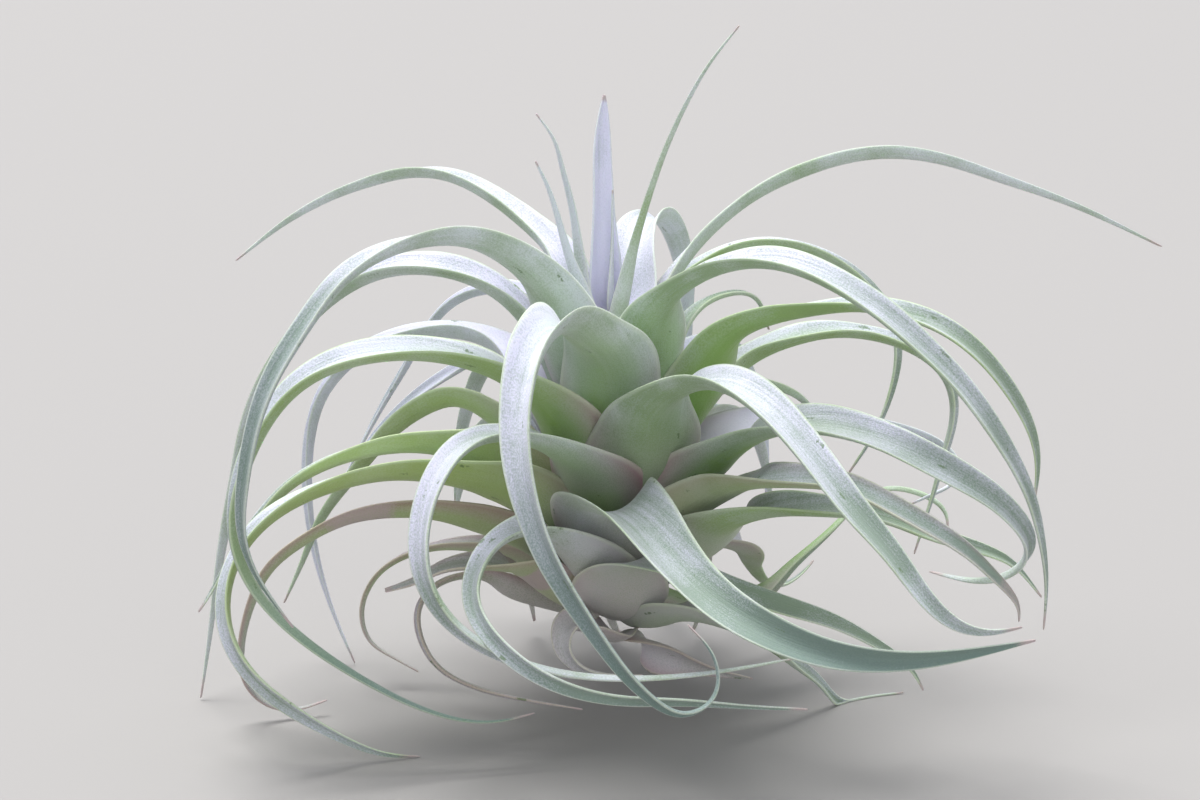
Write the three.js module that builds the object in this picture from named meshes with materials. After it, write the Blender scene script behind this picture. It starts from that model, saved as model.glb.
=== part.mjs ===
// An air plant: a rosette of channelled, tapering leaves that arch over and curl under.
// Millimetres, +Z up, the front of the plant facing -Y. The plant stands on a few leaf tips,
// with its bulb of broad leaf bases held clear of the surface. Every leaf is one solid.
import * as THREE from "three";

// Stem: short, hidden by the leaf bases, and leaning a little to the left.
const stemProfile = [
  [5.5, 22],
  [7.6, 26],
  [8.2, 44],
  [6.8, 62],
  [4.6, 77],
  [2.2, 87],
  [1.2, 91],
]; // radius and height
const stemFootX = 6;
const stemLean = 0.075; // sideways shift to the left per millimetre of height
const stemSides = 20;

// The routes below are drawn about the bulb; the whole plant is then moved by this much, so
// that the middle of its outline lies over the origin.
const middleX = 22.83;
const middleY = -6.58;

// Leaf section and outline.
const rootGap = 0.9; // clear space between a leaf's root and the stem
const middleThickness = 1.1;
const marginThickness = 0.6;
const fullWidth = 5.2; // a leaf narrower than this is also thinner in the middle
const thinnestShare = 0.35; // middle thickness where the width runs out, as a share of the full one
const tipWidth = 0.9;
const neckShare = 0.3; // width at the root, as a share of the base's full width
const sheathRise = 15; // distance from the root to the broadest place
const sheathFall = 20; // distance over which the base narrows into the blade
const riseShare = 0.25; // the rise takes no more than this share of a short leaf
const fallShare = 0.3; // and the fall no more than this one
const fallPower = 2; // a higher power keeps the base broad for longer before it narrows
const taperPower = 1.7; // a higher power keeps the blade broad for longer before its thin end
const cupShares = [0.2, 0.32, 0.36, 0.34, 0.3, 0.25]; // margin height over width, from root to tip
const turnOutward = 0.6; // how readily the upper face turns to the outside of a bend
const acrossPlaces = [-1, -0.55, 0, 0.55, 1]; // section points between the two margins
const fineStations = 96; // places along a leaf at which its direction is worked out
const lengthDivisions = 400; // pieces in which a route's length is measured
const stepReach = 13; // sections lie this far apart on a straight stretch
const bendSpread = 14; // a turn of one radian counts as this much length
const fewestSteps = 8;

const tones = {
  silver: { color: 0xc9d3cf, roughness: 0.72 },
  green: { color: 0x9db68a, roughness: 0.68 },
  old: { color: 0x9c9590, roughness: 0.82 },
};

// Leaves. rootHeight is where the leaf leaves the stem, base and blade are its widths in the
// sheath and in the blade, and route is what its midline passes through after the root.
// twist turns the blade about its midline, in degrees at even steps from root to tip.
// fall, fallPower, taper and cup take the place of the shared values above for one leaf.
const leaves = [
  // Upright leaves in the heart.
  {
    name: "leaf_heart_1", tone: "silver", rootHeight: 85, base: 8, blade: 5.5, taper: 7,
    route: [[0, 2, 100], [0, 3, 112], [0, 4, 124], [0, 5, 136], [1, 6, 149]],
  },
  {
    name: "leaf_heart_2", tone: "silver", rootHeight: 80, base: 5, blade: 2.5,
    route: [
      [4, -4, 91], [6, -4, 102], [8.5, -5, 115], [11.5, -6, 126], [15, -8, 137], [19.5, -10, 148],
      [25, -12, 158.5], [32, -14, 168],
    ],
  },
  {
    name: "leaf_heart_3", tone: "silver", rootHeight: 88, base: 3.5, blade: 1.5,
    route: [[3, 0, 101], [3, 1, 114], [3, 1, 127]],
  },
  {
    name: "leaf_heart_4", tone: "silver", rootHeight: 82, base: 3, blade: 3.2,
    route: [
      [-4, -1, 94], [-5, -1, 104], [-6, -1, 115], [-7, -1, 123], [-9, -2, 132], [-11, -3, 140],
      [-15, -4, 146],
    ],
  },
  {
    name: "leaf_heart_5", tone: "silver", rootHeight: 78, base: 5.5, blade: 3.5, taper: 2.2,
    route: [[-3, -8, 93], [-5, -9, 104], [-8, -10, 114], [-10, -10, 122], [-12, -10, 129], [-15, -11, 136]],
  },
  {
    name: "leaf_heart_6", tone: "silver", rootHeight: 84, base: 2.5, blade: 2,
    route: [[-3, -5, 96], [-5, -6, 106], [-7, -6, 113], [-9, -6, 120]],
  },
  {
    name: "leaf_heart_7", tone: "silver", rootHeight: 76, base: 10, blade: 12, fall: 24,
    route: [
      [6, 6, 88], [8, 10, 99], [8, 14, 107], [10, 22, 113], [14, 32, 114], [18, 41, 108], [21, 48, 97],
      [22, 53, 84], [23, 56, 70],
    ],
  },
  // High arching leaves.
  {
    name: "leaf_high_1", tone: "silver", rootHeight: 57, base: 22, blade: 10.5, fall: 52, fallPower: 3,
    cup: [0.2, 0.3, 0.66, 0.38, 0.3, 0.25],
    route: [
      [2, -14, 68], [2, -20, 79], [1, -27, 90], [-4, -38, 98], [-9.5, -50, 104], [-14, -60, 101],
      [-16.5, -69, 93], [-16.5, -77, 81], [-12, -83, 65], [-2, -87, 48], [9, -90, 34], [18, -90, 28],
      [25, -87, 31], [25, -84, 39], [19, -82, 46],
    ],
  },
  {
    name: "leaf_high_2", tone: "silver", rootHeight: 70, base: 13, blade: 11, fall: 30,
    route: [
      [-6, 6, 85], [-8, 10, 97], [-10, 14, 107], [-18, 20, 114], [-27, 26, 120], [-37, 32, 124],
      [-47, 37, 124], [-57, 41, 121], [-67, 44, 117], [-79, 47, 110], [-92, 49, 100],
    ],
  },
  {
    name: "leaf_high_3", tone: "silver", rootHeight: 70, base: 12.5, blade: 6.5, fall: 30,
    twist: [0, -35, -45, -35, -20],
    route: [
      [10, 4, 87], [16, 7, 100], [22, 12, 109], [30, 18, 116], [38, 24, 121], [49, 31, 125], [62, 38, 128],
      [75, 44, 128], [88, 49, 125], [101, 53, 120], [117, 57, 114], [130, 60, 108], [144, 62, 101],
    ],
  },
  {
    name: "leaf_high_4", tone: "silver", rootHeight: 65, base: 11, blade: 11, fall: 40,
    twist: [0, 25, 20, 0, -15, -25],
    route: [
      [-5, -11, 81], [-8, -16, 95], [-13, -21, 107], [-22, -27, 116], [-30, -33, 121], [-38, -39, 122],
      [-47, -45, 121], [-57, -51, 116], [-65, -56, 106], [-73, -60, 94], [-77, -62, 82], [-79, -63, 71],
      [-80, -63, 61], [-77, -62, 51], [-69, -60, 38],
    ],
  },
  {
    name: "leaf_high_5", tone: "silver", rootHeight: 62, base: 13, blade: 11.5, fall: 40,
    route: [
      [12, -8, 76], [14, -14, 90], [14, -22, 102], [21, -28, 110], [28, -35, 115], [37, -42, 118],
      [46, -48, 117], [54, -54, 114], [63, -58, 109], [70, -61, 103], [78, -63, 96], [85, -64, 87],
      [91, -63, 78], [96, -61, 68], [99, -58, 57], [101, -55, 47], [101, -52, 35],
    ],
  },
  {
    name: "leaf_high_6", tone: "silver", rootHeight: 58, base: 9.5, blade: 9,
    route: [
      [-10, 3, 75], [-16, 4, 90], [-22, 2, 99], [-31, 2, 105], [-41, 3, 107], [-51, 5, 106], [-61, 7, 101],
      [-70, 8, 93], [-78, 9, 83], [-84, 9, 71], [-87, 9, 60], [-90, 8, 46], [-93, 6, 32], [-95, 4, 18],
      [-98, 0, 0.5],
    ],
  },
  {
    name: "leaf_high_7", tone: "green", rootHeight: 64, base: 10, blade: 8, fall: 30,
    twist: [0, -20, 0, 50, 60],
    route: [
      [6, 12, 80], [11, 20, 92], [22, 25, 101], [32, 30, 106], [43, 34, 107], [54, 38, 104], [64, 41, 98],
      [72, 42, 89], [75, 42, 79], [73, 40, 67], [69, 37, 58], [62, 33, 48],
    ],
  },
  {
    name: "leaf_high_8", tone: "green", rootHeight: 58, base: 9, blade: 5.5,
    route: [[12, 5, 70], [17, 8, 80], [19, 12, 88], [25, 18, 95], [34, 24, 97], [39, 29, 94], [42, 32, 86]],
  },
  {
    name: "leaf_high_9", tone: "silver", rootHeight: 66, base: 4.5, blade: 6, twist: [0, 0, -20, -45, -50],
    route: [
      [-2, 10, 79], [-9, 19, 90], [-20, 27, 96], [-30, 34, 95], [-38, 39, 90], [-44, 42, 82], [-49, 44, 73],
      [-55, 46, 63], [-61, 47, 52], [-67, 46, 41],
    ],
  },
  // Leaves of the middle tiers.
  {
    name: "leaf_middle_1", tone: "silver", rootHeight: 46, base: 27, blade: 15, fall: 32,
    route: [
      [10, -17, 56], [12, -24, 67], [13, -32, 79], [19, -42, 88], [27, -52, 92], [36, -62, 89],
      [46, -72, 80], [54, -78, 71], [63, -83, 62], [70, -86, 53], [77, -87, 47], [84, -86, 45],
      [92, -84, 46],
    ],
  },
  {
    name: "leaf_middle_2", tone: "green", rootHeight: 54, base: 12, blade: 9.5, twist: [0, -30, -30, 0, 0],
    route: [
      [18, -10, 66], [23, -13, 78], [27, -17, 87], [30, -20, 95], [39, -23, 100], [50, -26, 103],
      [60, -30, 105], [70, -33, 104], [79, -35, 101], [87, -36, 95], [93, -36, 88], [98, -35, 80],
      [101, -33, 71], [101, -30, 59],
    ],
  },
  {
    name: "leaf_middle_3", tone: "green", rootHeight: 53, base: 9, blade: 9.5, fall: 35,
    twist: [0, 0, 0, 30, 60],
    route: [
      [16, 1, 63], [23, 1, 72], [30, 2, 79], [37, 3, 85], [45, 2, 89], [54, 4, 91], [65, 6, 90],
      [76, 8, 86], [84, 10, 79], [86, 11, 70], [84, 12, 60], [81, 11, 48], [77, 8, 35],
    ],
  },
  {
    name: "leaf_middle_4", tone: "green", rootHeight: 51, base: 19, blade: 11.5, fall: 45,
    route: [
      [-7, -12, 61], [-10, -17, 71], [-15, -22, 80], [-22, -27, 87], [-31, -31, 92], [-42, -35, 95],
      [-53, -38, 95], [-64, -40, 92], [-72, -42, 86], [-77, -44, 78], [-81, -46, 69], [-83, -48, 59],
      [-81, -50, 49], [-76, -51, 41], [-65, -52, 31], [-52, -52, 22], [-39, -51, 15], [-25, -49, 11],
      [-15, -46, 13],
    ],
  },
  {
    name: "leaf_middle_5", tone: "silver", rootHeight: 55, base: 9, blade: 8, fall: 34,
    twist: [0, 0, -20, -45, -50],
    route: [
      [-11, -1, 64], [-17, 3, 76], [-22, 9, 84], [-31, 14, 88], [-39, 17, 88], [-48, 20, 86], [-57, 24, 82],
      [-64, 27, 76], [-69, 29, 69], [-72, 31, 58], [-73, 32, 45], [-72, 32, 31], [-68, 30, 15],
      [-62, 27, 0.5],
    ],
  },
  {
    name: "leaf_middle_6", tone: "silver", rootHeight: 55, base: 3.5, blade: 5.5,
    route: [
      [-4, 9, 67], [-9, 17, 79], [-20, 24, 84], [-36, 28, 76], [-48, 33, 67], [-56, 36, 59], [-62, 37, 51],
    ],
  },
  {
    name: "leaf_middle_7", tone: "green", rootHeight: 48, base: 10, blade: 9, fall: 23,
    twist: [0, 20, 20, 0, 0],
    route: [
      [-11, 0, 54], [-19, 0, 63], [-27, 0, 71], [-34, 1, 75], [-42, 3, 72], [-50, 5, 66], [-56, 6, 59],
      [-62, 6, 52], [-68, 5, 44], [-72, 3, 35], [-77, 0, 25],
    ],
  },
  {
    name: "leaf_middle_8", tone: "silver", rootHeight: 43, base: 16.5, blade: 8, fall: 34,
    route: [
      [-1, -17, 52], [-4, -25, 62], [-11, -36, 72], [-21, -48, 79], [-30, -58, 80], [-36, -66, 74],
      [-39, -71, 64], [-38, -75, 53], [-32, -76, 44], [-22, -75, 37], [-9, -73, 32], [8, -71, 30],
      [25, -70, 31], [46, -68, 34],
    ],
  },
  {
    name: "leaf_middle_9", tone: "silver", rootHeight: 40, base: 17, blade: 11.5,
    twist: [0, 0, 15, 20, 10, 0],
    route: [
      [17, -10, 48], [24, -16, 58], [30, -24, 67], [39, -34, 76], [49, -43, 80], [59, -50, 80],
      [68, -56, 78], [78, -60, 74], [87, -61, 69], [93, -60, 63], [97, -57, 56], [94, -52, 49],
      [87, -47, 45], [76, -39, 45],
    ],
  },
  {
    name: "leaf_middle_10", tone: "green", rootHeight: 50, base: 7, blade: 6.5, twist: [0, -20, -20, 0],
    route: [
      [14, 7, 58], [21, 12, 68], [30, 16, 74], [40, 18, 75], [50, 23, 70], [53, 27, 63], [53, 27, 55],
    ],
  },
  {
    name: "leaf_middle_11", tone: "silver", rootHeight: 43, base: 12, blade: 9, fall: 30,
    route: [
      [15, 3, 51], [24, 5, 59], [35, 9, 65], [46, 14, 67], [59, 20, 66], [72, 22, 63], [82, 22, 60],
      [88, 20, 56], [88, 17, 51], [82, 14, 49], [75, 12, 46],
    ],
  },
  {
    name: "leaf_middle_12", tone: "green", rootHeight: 40, base: 16, blade: 11.5, fall: 32,
    twist: [0, 30, 30, 15, 0],
    route: [
      [-12, -4, 48], [-18, -7, 55], [-26, -12, 62], [-35, -18, 67], [-46, -21, 69], [-56, -23, 68],
      [-66, -25, 65], [-74, -26, 60], [-80, -26, 53], [-86, -25, 45], [-91, -24, 36], [-95, -23, 30],
    ],
  },
  // Leaves of the lower tiers.
  {
    name: "leaf_lower_1", tone: "silver", rootHeight: 32, base: 20, blade: 12, fall: 44,
    route: [
      [2, -19, 39], [1, -25, 47], [1, -31, 55], [3, -38, 59], [8, -48, 59], [13, -58, 56], [19, -67, 52],
      [26, -75, 48], [37, -83, 44], [50, -88, 41], [65, -89, 40], [80, -87, 41], [95, -84, 43],
    ],
  },
  {
    name: "leaf_lower_2", tone: "silver", rootHeight: 36, base: 17, blade: 10,
    route: [
      [18, -14, 44], [24, -20, 52], [30, -29, 59], [35, -42, 66], [45, -51, 69], [55, -58, 70],
      [64, -63, 67], [73, -66, 63], [81, -66, 58], [88, -64, 51], [94, -60, 44], [95, -55, 38],
    ],
  },
  {
    name: "leaf_lower_3", tone: "green", rootHeight: 29, base: 15, blade: 9,
    route: [
      [17, -10, 34], [24, -18, 42], [30, -29, 52], [40, -37, 58], [51, -43, 60], [64, -47, 60],
      [75, -48, 56], [85, -47, 53], [94, -45, 49], [99, -42, 43], [102, -40, 39],
    ],
  },
  {
    name: "leaf_lower_4", tone: "green", rootHeight: 36, base: 16, blade: 9,
    twist: [0, 35, 30, -10, -45, -50],
    route: [
      [-9, -10, 43], [-14, -15, 50], [-22, -20, 57], [-30, -25, 61], [-41, -28, 64], [-51, -31, 65],
      [-61, -33, 63], [-70, -35, 60], [-78, -37, 55], [-83, -39, 49], [-86, -42, 41], [-86, -44, 34],
      [-83, -46, 26], [-77, -47, 19], [-67, -46, 11], [-57, -44, 4.5], [-50, -42.5, 1], [-42, -40.5, 0.2],
    ],
  },
  {
    name: "leaf_lower_5", tone: "old", rootHeight: 29, base: 14, blade: 7.5, fall: 23,
    twist: [0, 30, 30, 20, 0],
    route: [
      [-8, -4, 33], [-14, -7, 38], [-21, -9, 43], [-29, -12, 47], [-39, -15, 51], [-50, -17, 52],
      [-60, -19, 51], [-70, -20, 46], [-78, -21, 40], [-82, -21, 32], [-85, -20, 22], [-85, -18, 11],
      [-81, -16, 5], [-75, -14, 2], [-66, -11, 4],
    ],
  },
  {
    name: "leaf_lower_6", tone: "silver", rootHeight: 28, base: 22, blade: 6.5, fall: 30,
    route: [
      [-2, -19, 34], [-6, -25, 42], [-10, -32, 49], [-16, -41, 55], [-24, -52, 55], [-28, -63, 50],
      [-27, -73, 45], [-20, -81, 39], [-11, -85, 34], [2, -85, 30], [18, -81, 28], [33, -79, 26],
      [46, -78, 25],
    ],
  },
  {
    name: "leaf_lower_7", tone: "green", rootHeight: 30, base: 9, blade: 5, twist: [0, -30, -30, 0],
    route: [
      [16, 5, 27], [26, 9, 24], [40, 14, 25], [47, 20, 29], [57, 28, 35], [66, 34, 42], [73, 38, 44],
      [82, 38, 42], [88, 36, 38], [88, 34, 34],
    ],
  },
  {
    name: "leaf_lower_8", tone: "old", rootHeight: 27, base: 11, blade: 4.5,
    route: [
      [-6, 5, 30], [-13, 6, 32], [-21, 7, 34], [-30, 8, 36], [-39, 10, 36], [-48, 12, 33], [-55, 13, 28],
      [-59, 13, 19], [-57, 12, 11], [-52, 11, 8], [-45, 10, 4],
    ],
  },
  {
    name: "leaf_lower_9", tone: "green", rootHeight: 23, base: 20, blade: 8.5, fall: 30,
    route: [
      [6, -17, 27], [7, -25, 34], [9, -32, 41], [16, -38, 44], [25, -42, 43], [41, -46, 39], [54, -47, 35],
      [66, -46, 28], [72, -44, 23], [75, -42, 17],
    ],
  },
  {
    name: "leaf_lower_10", tone: "green", rootHeight: 21, base: 11, blade: 6, fall: 26,
    twist: [0, -30, -30, 0, 0],
    route: [
      [14, -12, 23], [20, -19, 27], [28, -22, 27], [37, -19, 22], [45, -14, 15], [53, -7, 7], [58, -3, 0.3],
      [63, 0.5, -0.9], [69, 3.5, -0.8], [75, 5, 0.4],
    ],
  },
  {
    name: "leaf_lower_11", tone: "old", rootHeight: 24, base: 12, blade: 6, fall: 30,
    route: [
      [-8, -12, 28], [-13, -17, 33], [-17, -22, 38], [-22, -28, 42], [-29, -32, 44], [-36, -34, 44],
      [-43, -35, 41], [-50, -35, 39],
    ],
  },
  {
    name: "leaf_lower_12", tone: "old", rootHeight: 22, base: 9, blade: 3.5,
    route: [
      [-7, -2, 23], [-13, -5, 26], [-20, -10, 30], [-27, -15, 36], [-34, -18, 37], [-40, -21, 35],
      [-43, -25, 31], [-42, -28, 25], [-38, -31, 19], [-29, -34, 15], [-19, -36, 13], [-4, -38, 11],
    ],
  },
  {
    name: "leaf_lower_13", tone: "old", rootHeight: 19, base: 12, blade: 6,
    route: [
      [2, -13, 20], [-1, -19, 23], [-5, -26, 27], [-8, -31, 28], [-8, -34, 24], [-4, -35, 20], [3, -34, 18],
      [10, -31, 17],
    ],
  },
  {
    name: "leaf_lower_14", tone: "old", rootHeight: 20, base: 10, blade: 5,
    route: [[10, -10, 19], [15, -12, 17], [21, -12, 14], [28, -10, 11], [37, -7, 8]],
  },
  // Leaves at the back.
  {
    name: "leaf_back_1", tone: "silver", rootHeight: 58, base: 9.5, blade: 10.5, fall: 28,
    route: [
      [4, 11, 68], [5, 18, 79], [4, 29, 87], [3, 45, 85], [2, 59, 75], [1, 69, 59], [0, 75, 41],
      [-2, 78, 25], [-6, 76, 12],
    ],
  },
  {
    name: "leaf_back_2", tone: "silver", rootHeight: 47, base: 8, blade: 9.5, fall: 28,
    route: [
      [5, 11, 56], [7, 18, 66], [12, 30, 76], [16, 45, 77], [18, 59, 69], [20, 69, 54], [21, 75, 37],
      [20, 78, 19], [16, 77, 6],
    ],
  },
  {
    name: "leaf_back_3", tone: "silver", rootHeight: 43, base: 10, blade: 10.5, fall: 28,
    route: [
      [-2, 11, 52], [-4, 18, 61], [-6, 30, 70], [-8, 45, 73], [-11, 59, 66], [-13, 69, 53], [-14, 75, 36],
      [-13, 78, 18], [-10, 77, 6],
    ],
  },
  {
    name: "leaf_back_4", tone: "silver", rootHeight: 54, base: 13, blade: 9.5, fall: 28,
    route: [
      [11, 10, 65], [17, 17, 74], [24, 28, 80], [30, 39, 80], [35, 52, 73], [40, 61, 60], [43, 67, 45],
      [44, 70, 31],
    ],
  },
  {
    name: "leaf_back_5", tone: "silver", rootHeight: 52, base: 7, blade: 8, fall: 28,
    route: [
      [-4, 11, 62], [-9, 18, 71], [-15, 28, 77], [-22, 39, 78], [-29, 50, 71], [-34, 59, 58], [-37, 65, 44],
      [-38, 68, 30],
    ],
  },
  {
    name: "leaf_back_6", tone: "silver", rootHeight: 40, base: 9, blade: 9.5, fall: 28,
    route: [
      [12, 11, 50], [17, 19, 59], [24, 30, 64], [32, 42, 62], [39, 53, 54], [43, 60, 42], [45, 64, 31],
    ],
  },
  {
    name: "leaf_back_7", tone: "silver", rootHeight: 38, base: 13, blade: 9.5, fall: 28,
    route: [
      [-5, 11, 47], [-11, 18, 55], [-18, 29, 60], [-25, 41, 60], [-31, 52, 53], [-35, 60, 42],
      [-38, 65, 29],
    ],
  },
  {
    name: "leaf_back_8", tone: "silver", rootHeight: 35, base: 11, blade: 8.5, fall: 28,
    route: [
      [4, 12, 42], [6, 19, 49], [11, 30, 52], [13, 43, 48], [15, 54, 38], [16, 62, 25], [16, 66, 11],
      [15, 68, 3], [13, 73, 0.2],
    ],
  },
  {
    name: "leaf_back_9", tone: "silver", rootHeight: 30, base: 15, blade: 9.5, fall: 28,
    route: [
      [2, 11, 36], [0, 18, 41], [-3, 30, 44], [-7, 43, 41], [-10, 54, 33], [-12, 62, 21], [-12, 66, 10],
      [-9, 66, 0.5],
    ],
  },
  {
    name: "leaf_back_10", tone: "old", rootHeight: 28, base: 14, blade: 8, fall: 26,
    route: [[12, 9, 32], [16, 16, 36], [20, 26, 37], [24, 36, 31], [26, 43, 20], [26, 47, 9], [24, 48, 2]],
  },
  {
    name: "leaf_back_11", tone: "old", rootHeight: 26, base: 14, blade: 8, fall: 26,
    route: [
      [-1, 10, 30], [-5, 16, 33], [-10, 26, 35], [-14, 36, 32], [-17, 45, 24], [-18, 50, 12], [-17, 51, 4],
    ],
  },
  {
    name: "leaf_back_12", tone: "old", rootHeight: 22, base: 14, blade: 8, fall: 26,
    route: [[6, 11, 24], [6, 18, 27], [5, 28, 28], [4, 37, 23], [3, 43, 14], [3, 46, 6], [5, 46, 2]],
  },
  {
    name: "leaf_back_13", tone: "green", rootHeight: 33, base: 11, blade: 6, fall: 26,
    route: [
      [17, 3, 37], [25, 8, 38], [33, 17, 34], [37, 28, 26], [42, 35, 19], [47, 40, 17], [52, 44, 19],
      [55, 46, 22],
    ],
  },
];

function stemRadiusAt(height) {
  for (let i = 1; i < stemProfile.length; i++) {
    const [lowRadius, low] = stemProfile[i - 1];
    const [highRadius, high] = stemProfile[i];
    if (height <= high) return lowRadius + ((highRadius - lowRadius) * (height - low)) / (high - low);
  }
  return stemProfile.at(-1)[0];
}

function stemCentre(height) {
  return new THREE.Vector3(stemFootX - stemLean * (height - stemProfile[0][1]), 0, height);
}

// The point where a leaf leaves the stem, on the side of the first point of its route.
function rootOf(leaf) {
  const centre = stemCentre(leaf.rootHeight);
  const outward = new THREE.Vector3(...leaf.route[0]).sub(centre).setZ(0).normalize();
  return centre.addScaledVector(outward, stemRadiusAt(leaf.rootHeight) + rootGap);
}

function mix(list, share) {
  const place = Math.min(share, 0.9999) * (list.length - 1);
  const i = Math.floor(place);
  return list[i] + (list[i + 1] - list[i]) * (place - i);
}

// Full width at a distance from the root: a broad sheath that runs out into a tapering blade.
function widthAt(leaf, distance, length) {
  const share = distance / length;
  const rise = Math.min(sheathRise, riseShare * length);
  const fall = leaf.fall ?? Math.min(sheathFall, fallShare * length);
  const neck = neckShare + (1 - neckShare) * THREE.MathUtils.smoothstep(distance, 0, rise);
  const past = Math.max(distance - rise, 0) / fall;
  const sheath = leaf.base * neck * Math.exp(-(past ** (leaf.fallPower ?? fallPower)));
  const blade = leaf.blade * (1 - share ** (leaf.taper ?? taperPower));
  return Math.hypot(sheath, blade * Math.min(distance / rise, 1)) + tipWidth * share;
}

// Positions, directions and upper-face normals at even distances along a leaf.
function midlineOf(leaf) {
  const root = rootOf(leaf);
  const points = [root, ...leaf.route.map((p) => new THREE.Vector3(...p))];
  const curve = new THREE.CatmullRomCurve3(points, false, "centripetal");
  curve.arcLengthDivisions = lengthDivisions;
  const places = curve.getSpacedPoints(fineStations);
  const tangents = places.map((_, i) =>
    places[Math.min(i + 1, fineStations)].clone().sub(places[Math.max(i - 1, 0)]).normalize(),
  );
  const normal = stemCentre(leaf.rootHeight).sub(root).normalize();
  const normals = tangents.map((tangent, i) => {
    const bend = tangents[Math.min(i + 1, fineStations)].clone().sub(tangents[Math.max(i - 1, 0)]);
    normal.addScaledVector(bend, -turnOutward);
    normal.addScaledVector(tangent, -normal.dot(tangent)).normalize();
    const degrees = leaf.twist ? mix(leaf.twist, i / fineStations) : 0;
    return normal.clone().applyAxisAngle(tangent, THREE.MathUtils.degToRad(degrees));
  });
  return { places, tangents, normals, length: curve.getLength() };
}

// The closed ring of one section: the upper face from margin to margin, then the lower one.
function sectionAt(leaf, midline, i) {
  const share = i / fineStations;
  const width = widthAt(leaf, share * midline.length, midline.length);
  const across = new THREE.Vector3().crossVectors(midline.tangents[i], midline.normals[i]);
  const cup = mix(leaf.cup ?? cupShares, share);
  const taper = Math.min(1, thinnestShare + ((1 - thinnestShare) * width) / fullWidth);
  const middle = Math.max(middleThickness * taper, marginThickness);
  const face = (side) =>
    acrossPlaces.map((u) => {
      const thickness = marginThickness + (middle - marginThickness) * (1 - u * u);
      const point = midline.places[i].clone();
      point.addScaledVector(across, (u * width) / 2);
      point.addScaledVector(midline.normals[i], cup * width * u * u + (side * thickness) / 2);
      point.z = Math.max(point.z, side > 0 ? marginThickness : 0); // flat where it rests
      return point;
    });
  return [...face(1), ...face(-1)];
}

// The fine stations that carry a section: evenly spread, and closer together in tight bends.
function sectionStations(midline) {
  const reach = [0];
  for (let i = 1; i <= fineStations; i++) {
    const turn = midline.tangents[i].angleTo(midline.tangents[i - 1]);
    reach.push(reach[i - 1] + midline.length / fineStations + bendSpread * turn);
  }
  const steps = Math.max(fewestSteps, Math.round(reach.at(-1) / stepReach));
  return Array.from({ length: steps + 1 }, (_, k) => {
    const wanted = (k / steps) * reach.at(-1);
    return reach.findIndex((value) => value >= wanted - 1e-9);
  });
}

function leafGeometry(leaf) {
  const midline = midlineOf(leaf);
  const stations = sectionStations(midline);
  const steps = stations.length - 1;
  const count = acrossPlaces.length;
  const positions = stations.flatMap((i) => sectionAt(leaf, midline, i).flatMap((p) => p.toArray()));
  const index = [];
  const quad = (a, b, c, d) => index.push(a, b, c, a, c, d);
  for (let k = 0; k < steps; k++) {
    const here = k * 2 * count;
    const next = here + 2 * count;
    for (let j = 0; j < count - 1; j++) {
      quad(here + j, here + j + 1, next + j + 1, next + j);
    }
    for (let j = count; j < 2 * count - 1; j++) {
      index.push(here + j, next + j + 1, here + j + 1, here + j, next + j, next + j + 1);
    }
    quad(here + count, here, next, next + count);
    quad(here + count - 1, here + 2 * count - 1, next + 2 * count - 1, next + count - 1);
  }
  const last = steps * 2 * count;
  for (let j = 0; j < count - 1; j++) {
    quad(j, count + j, count + j + 1, j + 1);
    quad(last + j, last + j + 1, last + count + j + 1, last + count + j);
  }
  const geometry = new THREE.BufferGeometry();
  geometry.setAttribute("position", new THREE.Float32BufferAttribute(positions, 3));
  geometry.setIndex(index);
  geometry.computeVertexNormals();
  return geometry;
}

function leafMesh(leaf) {
  const material = new THREE.MeshStandardMaterial({ ...tones[leaf.tone], metalness: 0 });
  const mesh = new THREE.Mesh(leafGeometry(leaf), material);
  mesh.name = leaf.name;
  return mesh;
}

function stemMesh() {
  const outline = stemProfile.map(([radius, height]) => new THREE.Vector2(radius, height));
  outline.unshift(new THREE.Vector2(0, stemProfile[0][1]));
  outline.push(new THREE.Vector2(0, stemProfile.at(-1)[1]));
  const geometry = new THREE.LatheGeometry(outline, stemSides);
  geometry.rotateX(Math.PI / 2);
  const lean = new THREE.Matrix4().makeShear(0, 0, 0, 0, -stemLean, 0);
  geometry.applyMatrix4(lean);
  geometry.translate(stemFootX + stemLean * stemProfile[0][1], 0, 0);
  const mesh = new THREE.Mesh(geometry, new THREE.MeshStandardMaterial({ color: 0x7d7263, roughness: 0.9 }));
  mesh.name = "stem";
  return mesh;
}

const plant = new THREE.Group();
plant.add(stemMesh());
for (const leaf of leaves) plant.add(leafMesh(leaf));
plant.position.set(-middleX, -middleY, 0);

export default plant;
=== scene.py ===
import math
import random

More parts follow.
